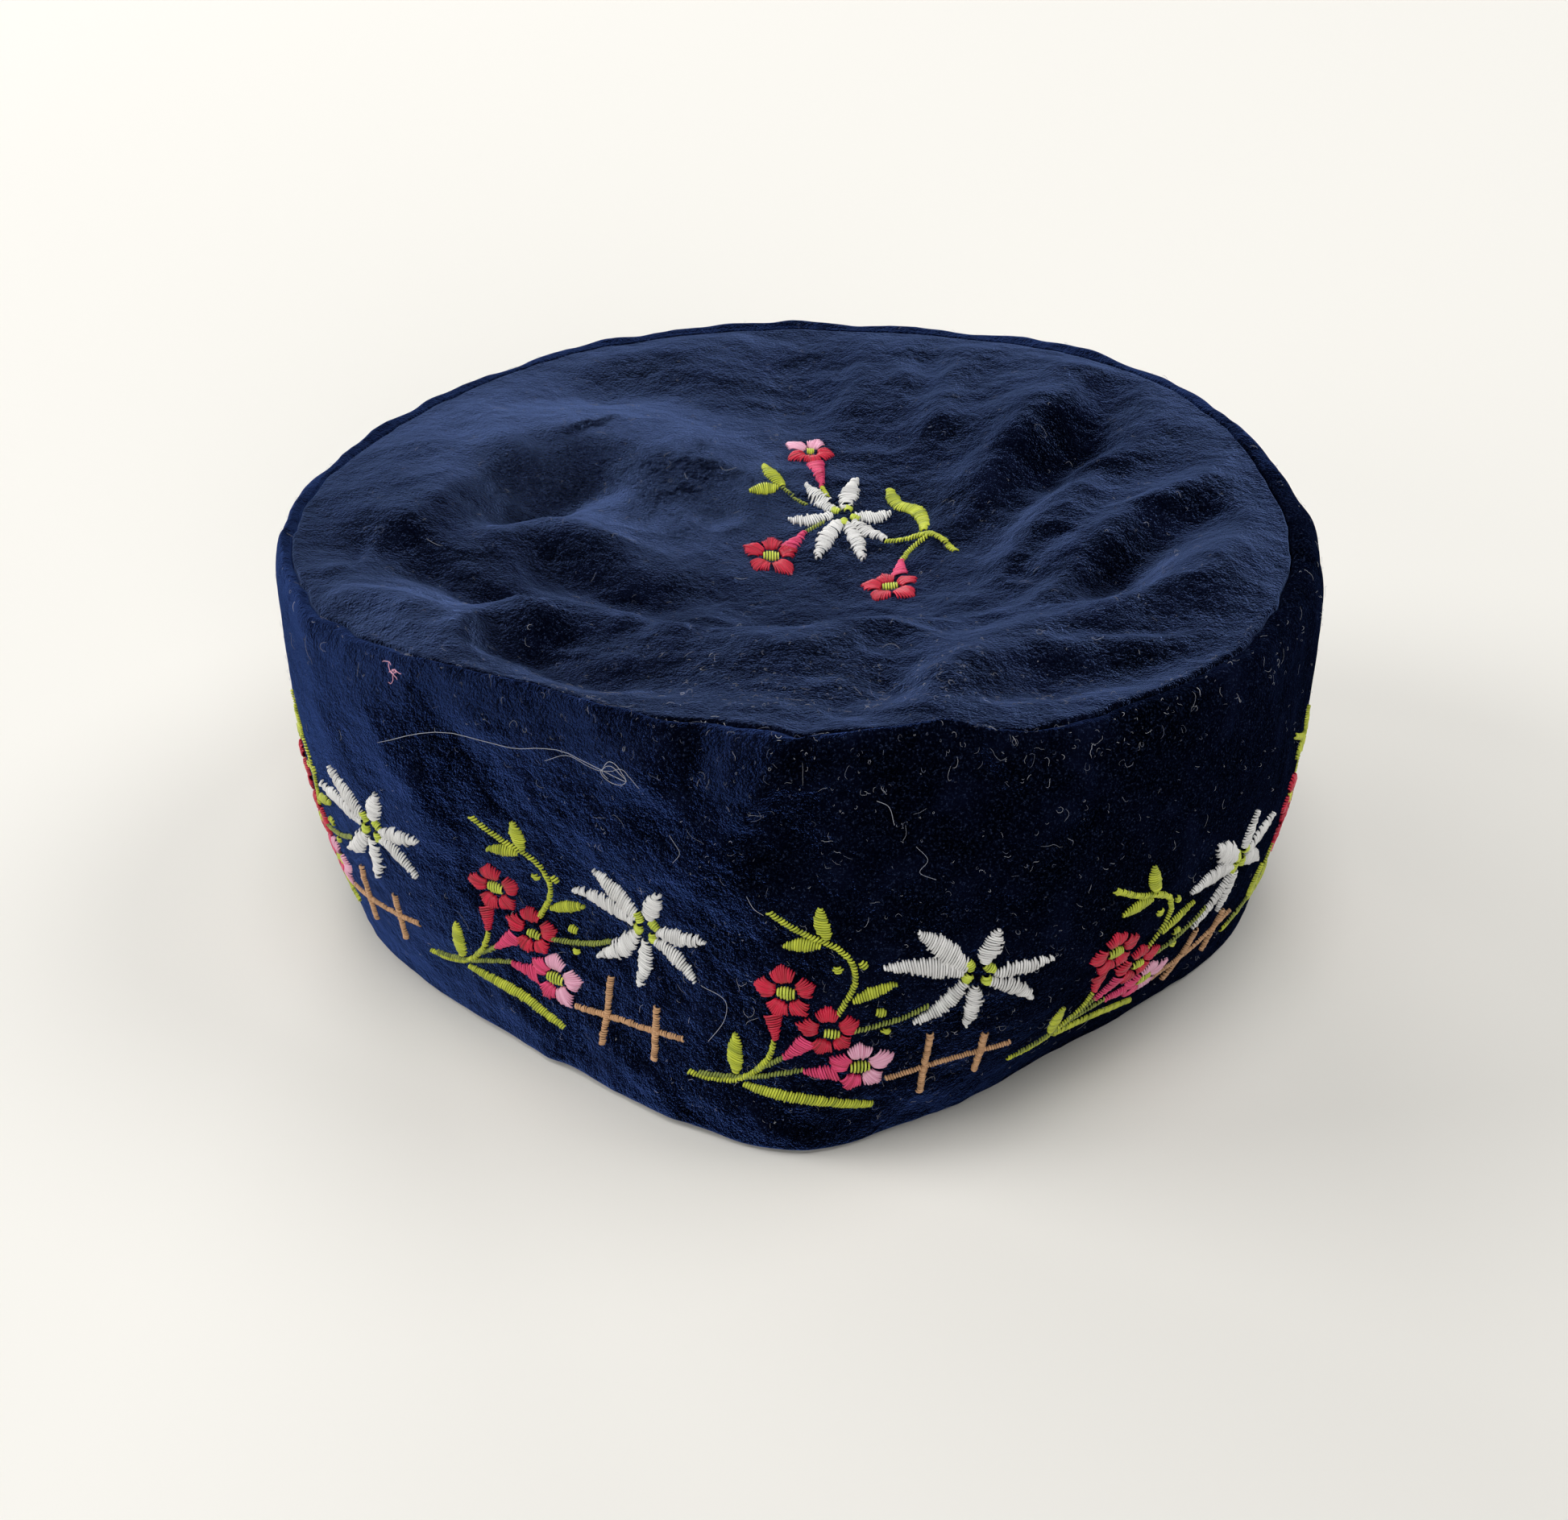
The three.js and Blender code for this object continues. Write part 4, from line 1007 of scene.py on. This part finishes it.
def sew(node, face, rows, slot, first=0.0):
    """Lays a motif's stitches on a cloth, and makes them the piece that stands for its solid"""
    rows = np.vstack(rows)
    flat = rows[:, None, 0:2] + (rows[:, None, 2:4] - rows[:, None, 0:2]) * THREAD_PATH[:, None]
    flat[..., 0] += first
    height = -THREAD_SUNK + (rows[:, 4:5] + THREAD_SUNK) * THREAD_ARCH
    places, normals = face(flat)
    centers = places + normals * height[..., None]
    used, looks = np.unique(rows[:, 6].astype(int), return_inverse=True)
    materials = [THREAD_LOOKS[i] for i in used]
    name = "sewn_" + node
    widths, shades = rows[:, 5], rows[:, 7]
    piece = tube_mesh(name, centers, normals, widths, shades, materials, THREAD_THICKNESS, looks)
    return keep(piece, slot, node)


def stem_spray():
    return [
        rope([(0, 12.8), (4.5, 13.3), (9.5, 14.6), (13.4, 17.6), (16, 21.4), (17.1, 25.3)], GREEN),
        rope([(13.4, 18.2), (16.4, 20.2), (18.9, 22.3)], DARK_GREEN, 1.0),
        rope([(2.2, 13.6), (7, 14.6), (12, 16), (17, 18), (22.3, 19.7)], DARK_GREEN, 1.0),
        satin(
            [(11.2, 14.2), (17, 13.8), (24, 13), (30, 11.2), (35, 9.8)],
            [0, 0.12, 0.4, 0.75, 0.93, 1],
            [0.5, 0.95, 1.2, 1.1, 0.85, 0.6],
            GREEN,
            slant=-14,
        ),
        leaf((9.7, 16.2), (9.9, 25), 3.5, GREEN, 0.02),
        rope([(28.3, 32), (29.7, 34.6), (30.9, 37.4), (31.4, 41), (30.2, 44.4)], GREEN),
        rope([(30.2, 44.4), (28, 46.2), (25.4, 47.4), (21.2, 49), (16, 52.3)], GREEN, 1.3),
        leaf((26.3, 47.8), (25.2, 54), 3.2, GREEN, 0.04),
        leaf((25.4, 46.4), (18.6, 45.5), 2.9, GREEN, -0.03),
        leaf((30.9, 34.9), (38.8, 38.4), 2.7, GREEN, 0.02),
        knot((28.4, 41.8), (1.9, 1.4), GREEN, 10, 3, 0.45),
        knot((32.7, 42.8), (1.6, 1.6), GREEN, 40, 3, 0.45),
        knot((36, 32.1), (1.9, 1.9), GREEN, 80, 4, 0.5),
        knot((37, 27.9), (1.7, 1.2), GREEN, 0, 3, 0.45),
        rope([(30.6, 28.1), (35, 29.1), (40, 30.6), (44.6, 32.9)], DARK_GREEN, 1.05),
    ]


def blossoms():
    first, second, third = (19.2, 35.9), (26.9, 28.4), (32.4, 19.9)
    upper = [(18.2, 41.6, 4.8), (12.9, 36.6, 4.2), (24.4, 38.2, 4.2), (22.9, 31.6, 4.0), (16.9, 30.7, 4.6)]
    mid = [(26.4, 33.9, 4.5), (20.9, 29.9, 4.0), (32.4, 30.4, 4.3), (30.4, 24.6, 4.0), (24.7, 23.5, 4.6)]
    return [
        tube((17, 31.2), (17.2, 25.6), 4.3, CRIMSON),
        *petals(first, CRIMSON, upper),
        knot(first, (2.7, 3.2), LIME, 90, 6),
        tube((23.6, 26.4), (18.7, 21.9), 4.4, PINK),
        *petals(second, CRIMSON, mid),
        knot((27.3, 27.9), (1.9, 2.8), LIME, 84, 5),
        tube((28.4, 18.9), (22.3, 19.4), 4.2, PINK),
        *petals(third, PALE_PINK, [(32.3, 25.6, 4.8), (38.9, 21.9, 4.6), (36.3, 14.9, 4.4)]),
        *petals(third, PINK, [(29.9, 14.6, 4.4), (26.8, 22.3, 4.4)]),
        knot(third, (2.8, 3.6), LIME, 88, 6),
    ]


def edelweiss():
    tips = [
        (42.2, 49.3, 5.4, 0.0, 18),
        (36.3, 41.9, 4.3, -0.05, 14),
        (41.9, 29.0, 4.0, 0.06, -14),
        (51.7, 26.8, 3.6, 0.04, -12),
        (64.1, 32.3, 3.9, 0.07, 12),
        (66.6, 42.3, 3.8, -0.02, -12),
        (56.6, 49.6, 4.1, 0.02, 10),
    ]
    knots = [
        ((51.4, 41.7), (2.1, 2.3), 20),
        ((51.2, 38.9), (2.1, 2.1), -20),
        ((55.0, 41.2), (2.1, 2.2), 60),
        ((54.7, 38.3), (2.1, 2.0), 10),
    ]
    return star((53.1, 39.6), tips, knots)


def fence():
    return [
        post([(37.3, 15.8), (49, 17.8), (62, 19.6)], 0.55, 12, 0.45),
        post([(45.3, 26.1), (44.8, 18.4), (44.2, 10.8)], 0.6, 12, 0.62),
        post([(56, 24.3), (55.9, 18.3), (55.6, 12.3)], 0.6, -12, 0.62),
    ]


# The pattern's repeats: their wished length, and where the front one starts, its number from 0
REPEAT_LENGTH = 62
PATTERN_START = -21
FRONT_REPEAT = 4
REPEATS = int(round(BAND_LENGTH / REPEAT_LENGTH))
PITCH = BAND_LENGTH / REPEATS


def embroider_band():
    """Sews the repeats of the pattern round the band"""
    motifs = [
        ("stem_spray", stem_spray, "green_thread"),
        ("blossoms", blossoms, "crimson_thread"),
        ("edelweiss", edelweiss, "cream_thread"),
        ("fence", fence, "tan_thread"),
    ]
    sewn = []
    for number in range(REPEATS):
        first = PATTERN_START + (number - FRONT_REPEAT) * PITCH
        for name, drawing, slot in motifs:
            sewn.append(sew(f"{name}_{number + 1:02d}", band_face, drawing(), slot, first))
    return sewn


def crown_edelweiss():
    tips = [
        (13.6, 31.7, 4.3, 0.04, 10),
        (21.0, 20.6, 4.0, -0.04, 10),
        (19.8, 11.6, 3.6, -0.03, -10),
        (14.5, 4.9, 3.8, 0.03, 10),
        (4.7, 5.6, 4.4, -0.04, -10),
        (-1.4, 19.4, 3.8, 0.05, 12),
        (2.4, 29.4, 3.8, 0.03, 10),
    ]
    places = [((8.9, 21.6), 60), ((11.6, 22.3), 0), ((13.1, 19.2), 60), ((10.6, 17.3), 0)]
    knots = [(place, (2.0, 2.1), turn) for place, turn in places]
    return star((10.7, 19.6), tips, knots, begin=2.4)


def crown_bellflower():
    center = (3.7, 42.9)
    return [
        tube((4.8, 38.9), (6.2, 28.9), 5.0, PINK, 1.1),
        *petals(center, PALE_PINK, [(-2.0, 46.6, 4.2), (5.6, 48.4, 4.4)], 1.4),
        *petals(center, CRIMSON, [(-1.4, 39.2, 3.8), (9.2, 41.8, 4.0), (4.4, 38.0, 4.2)], 1.4),
        knot((3.7, 43.1), (1.9, 1.7), LIME, 90, 4),
        rope([(6.2, 28.9), (6.6, 27.2), (7.3, 25.6)], GREEN, 1.3),
    ]


def crown_blossom_left():
    center = (-4.9, 7.9)
    tips = [(-10.9, 10.4, 4.6), (-4.8, 13.7, 4.6), (0.9, 9.6, 4.4), (-0.6, 1.4, 4.8), (-8.4, 2.6, 4.8)]
    return [
        tube((-1.6, 10.2), (2.3, 15.0), 4.4, PINK, 1.0),
        *petals(center, CRIMSON, tips),
        knot(center, (2.8, 3.4), LIME, 90, 6),
        rope([(2.3, 15), (4.6, 16.4), (6.6, 17.3)], DARK_GREEN, 1.0),
    ]


def crown_blossom_right():
    tips = [(13.4, -4.7, 4.6), (18.3, -0.6, 4.4), (25.4, -3.6, 4.6), (24.1, -12.6, 4.8), (16.3, -12.2, 4.8)]
    return [
        tube((21.5, -1.8), (22.3, 4.0), 4.2, PINK, 1.0),
        *petals((19.6, -6.4), CRIMSON, tips),
        knot((19.6, -6.0), (2.6, 3.2), LIME, 90, 6),
    ]


def crown_sprig_left():
    return [
        leaf((-2.4, 28.8), (-6.7, 35.6), 3.6, GREEN, 0.03),
        leaf((-3.4, 28.4), (-9.8, 26.0), 3.4, GREEN, -0.05),
        rope([(-2.6, 28.4), (0, 26), (2.8, 23.9)], DARK_GREEN, 0.7),
    ]


def crown_sprig_right():
    return [
        satin(
            [(20.8, 28.6), (22.3, 23.4), (26.2, 20.2), (27.5, 15.6), (27.5, 11.6)],
            [0, 0.14, 0.4, 0.6, 0.85, 1],
            [0.7, 1.5, 1.4, 1.6, 1.2, 0.5],
            GREEN,
            slant=-8,
        ),
        rope([(19.2, 11.2), (23.4, 10.8), (27.6, 10.6), (31, 7.6), (33.6, 3.4)], GREEN, 1.4),
        rope([(28.2, 9.8), (24.6, 7.6), (22.4, 4)], GREEN, 1.4),
    ]


def embroider_crown():
    """Sews the posy on the crown"""
    posy = [
        ("crown_edelweiss", crown_edelweiss, "cream_thread"),
        ("crown_bellflower", crown_bellflower, "pink_thread"),
        ("crown_blossom_left", crown_blossom_left, "crimson_thread"),
        ("crown_blossom_right", crown_blossom_right, "crimson_thread"),
        ("crown_sprig_left", crown_sprig_left, "green_thread"),
        ("crown_sprig_right", crown_sprig_right, "green_thread"),
    ]
    return [sew(node, crown_face, drawing(), slot) for node, drawing, slot in posy]


embroider_band()
embroider_crown()


# Lint: the width of a fibre, its shortest length, and the steps of its path
FIBRE_WIDTH = 0.046
FIBRE_SHORTEST = 0.35
FIBRE_STEPS = 6


def fibre_paths(starts, lengths, steps, curl):
    """Curled flat paths of a number of steps from starting places"""
    count = len(starts)
    heading = random.uniform(0, 2 * np.pi, (count, 1))
    turns = random.normal(0, curl, (count, 1)) + random.normal(0, curl * 0.7, (count, steps))
    heading = heading + np.cumsum(turns, axis=1)
    moves = np.stack([np.cos(heading), np.sin(heading)], -1) * (lengths / steps)[:, None, None]
    return starts[:, None] + np.concatenate([np.zeros((count, 1, 2)), np.cumsum(moves, axis=1)], 1)


def loose_fibres(face, paths):
    """Places and normals of fibres that lie on a cloth, with their middles a little off it"""
    places, normals = face(paths)
    arch = np.sin(np.linspace(0, np.pi, paths.shape[1]))
    lift = 0.12 + random.uniform(0, 0.5, (len(paths), 1)) * arch
    return places + normals * lift[..., None], normals


def gathered(low, high, count, thick, middle, spread):
    """Places spread evenly between two ends, except the first ones, which gather round a middle"""
    places = random.uniform(low, high, count)
    places[:thick] = random.normal(middle, spread, thick)
    return places


def strewn(starts, mean_length, curl):
    lengths = random.exponential(mean_length, len(starts)) + FIBRE_SHORTEST
    return fibre_paths(starts, lengths, FIBRE_STEPS, curl)


def lint():
    """Short pale fibres caught in the pile, thickest at the front and along the seam"""
    around = gathered(-BAND_LENGTH / 2, BAND_LENGTH / 2, 900, 420, 18, 42)
    up = random.uniform(6, 74, 900)
    on_band = strewn(np.stack([around, up], -1), 0.8, 0.45)
    on_band[..., 1] = np.clip(on_band[..., 1], 3, 74.5)
    angle = gathered(-180, 180, 380, 200, 8, 30)
    over = random.uniform(0.03, 0.97, 380)
    on_roll = strewn(np.stack([angle, over], -1) * ROLL_SCALE, 0.9, 0.5)
    on_roll[..., 1] = np.clip(on_roll[..., 1], 0.1, ROLL_SCALE[1] - 0.1)
    turn = random.uniform(0, 2 * np.pi, 800)
    reach = 88 * np.sqrt(random.uniform(0, 1, 800))
    start = np.stack([reach * np.sin(turn), CROWN_SET_BACK - reach * np.cos(turn)], -1)
    start[:330, 0] = random.normal(8, 34, 330)
    start[:330, 1] = -75 + np.abs(random.normal(0, 16, 330))
    away = strewn(start, 0.8, 0.5) - EDGE_MIDDLE
    edge = np.interp(turn_of(away), EDGE_TURNS, EDGE_REACH) - 0.5
    share = np.minimum(1, edge / np.maximum(np.hypot(away[..., 0], away[..., 1]), 1e-6))
    on_crown = EDGE_MIDDLE + away * share[..., None]
    strewn_on = [(band_face, on_band), (roll_face, on_roll), (crown_face, on_crown)]
    fibres = [loose_fibres(face, paths) for face, paths in strewn_on]
    centers, normals = [np.concatenate(rows) for rows in zip(*fibres)]
    widths = FIBRE_WIDTH * random.uniform(0.7, 1.4, len(centers))
    shades = np.clip(random.normal(0.35, 0.32, len(centers)), 0, 1)
    loose(tube_mesh("lint", centers, normals, widths, shades, [FIBRE_LOOK], sides=3), "cream_thread")


def loose(piece, slot):
    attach(piece, "root")


def stray_threads():
    """A long pale hair with a curl at its end, a few shorter ones, and a fleck of pink fluff. A hair
    is its line, width and shade."""
    curl = np.linspace(0, 3.3 * math.pi, 15)
    ring = np.stack([-35.5 + 2.6 * np.cos(curl), 72.2 + 1.7 * np.sin(curl)], 1) + 0.05 * curl[:, None]
    long_hair = [(-85.6, 63.8), (-75, 68.6), (-63.2, 70.6), (-56, 71.2), (-49.8, 73.2), (-41, 73.4), *ring]
    hairs = [
        (long_hair, 0.09, 0.7),
        ([(-50, 70.6), (-45, 73.2), (-39, 72.6), (-33, 74), (-30, 71.5)], 0.08, 0.6),
        ([(-18.6, 32.3), (-13.6, 31), (-13.6, 26.7), (-16.8, 21.1)], 0.09, 0.5),
        ([(-8.9, 54.9), (-7.6, 52.6), (-5.8, 51.5)], 0.08, 0.5),
        ([(14.2, 74.4), (16.4, 73.2), (17.3, 69.9)], 0.09, 0.5),
        ([(21, 66), (23, 63.4), (21.6, 61), (24.4, 59.6)], 0.07, 0.4),
        ([(-24.6, 62.6), (-22, 60.4), (-23.4, 57.8)], 0.07, 0.4),
    ]
    lines, widths, shades = zip(*hairs)
    places, normals = band_face(np.stack([smooth_line(line, 70) for line in lines]))
    centers = places + 0.28 * normals
    pale = tube_mesh("stray_hairs", centers, normals, np.array(widths), shades, [FIBRE_LOOK])
    start = np.tile([[-82.6, 5.6]], (7, 1)) + random.normal(0, 0.45, (7, 2))
    places, normals = roll_face(fibre_paths(start, np.full(7, 2.4), 8, 0.5))
    centers = places + 0.25 * normals
    shades = random.uniform(0.2, 0.9, 7)
    fluff = tube_mesh("pink_fluff", centers, normals, np.full(7, 0.14), shades, [THREAD_LOOKS[PALE_PINK]])
    loose(pale, "cream_thread")
    loose(fluff, "pink_thread")


lint()
stray_threads()


def make_stage():
    """A pale floor, darker to the light that it throws back than to the eye"""
    far = 6.0
    mesh = bpy.data.meshes.new("floor")
    corners = [(-far, -far, 0), (far, -far, 0), (far, far, 0), (-far, far, 0)]
    mesh.from_pydata(corners, [], [(0, 1, 2, 3)])
    material, tree, shader = nodes_of("floor")
    ray = add_node(tree, "LightPath", {})
    shown = math_node(tree, "MAXIMUM", ray["Is Camera Ray"], ray["Is Glossy Ray"])
    shown = math_node(tree, "MAXIMUM", shown, ray["Is Transmission Ray"])
    color = ramp_node(tree, shown, [(0.0, (0.35, 0.34, 0.32)), (1.0, (0.88, 0.86, 0.81))])
    fill(tree, shader, {"Base Color": color, "Roughness": 1.0, "Specular IOR Level": 0.0})
    mesh.materials.append(material)
    add_object("floor", mesh)


def make_lights():
    world = bpy.data.worlds.new("world")
    bpy.context.scene.world = world
    world.use_nodes = True
    tree = world.node_tree
    fill(tree, tree.nodes["Background"], {"Color": (1, 0.99, 0.97, 1), "Strength": 0.05})
    lamps = [
        ("window", (-4.25, 0.7, 2.5), 98),
        ("side_window", (-3.5, 3.2, 1.4), 86),
        ("back_wall", (-1.0, 4.6, 1.5), 76),
        ("ceiling", (0.0, 0.0, 5.0), 82),
        ("front_left", (-3.75, -3.0, 1.5), 40),
        ("front", (1.3, -4.6, 1.45), 88),
        ("right_high", (3.0, 1.0, 3.85), 68),
    ]
    for name, place, power in lamps:
        light = bpy.data.lights.new(name, "AREA")
        light.shape = "DISK"
        light.size = 2.5
        light.energy = power
        lamp = add_object(name, light)
        lamp.location = place
        lamp.rotation_euler = (-Vector(place)).to_track_quat("-Z", "Y").to_euler()


def make_camera():
    camera = bpy.data.cameras.new("camera")
    camera.lens = LENS
    camera.sensor_width = SENSOR
    camera.sensor_fit = "HORIZONTAL"
    camera.clip_start = 0.01
    camera.clip_end = 20
    eye = add_object("camera", camera)
    eye.location = to_metres(np.array(CAMERA_PLACE))
    eye.rotation_euler = (math.radians(90 - CAMERA_DOWN), 0, 0)
    bpy.context.scene.camera = eye


make_stage()
make_lights()
make_camera()
bpy.context.scene.view_settings.view_transform = "Standard"
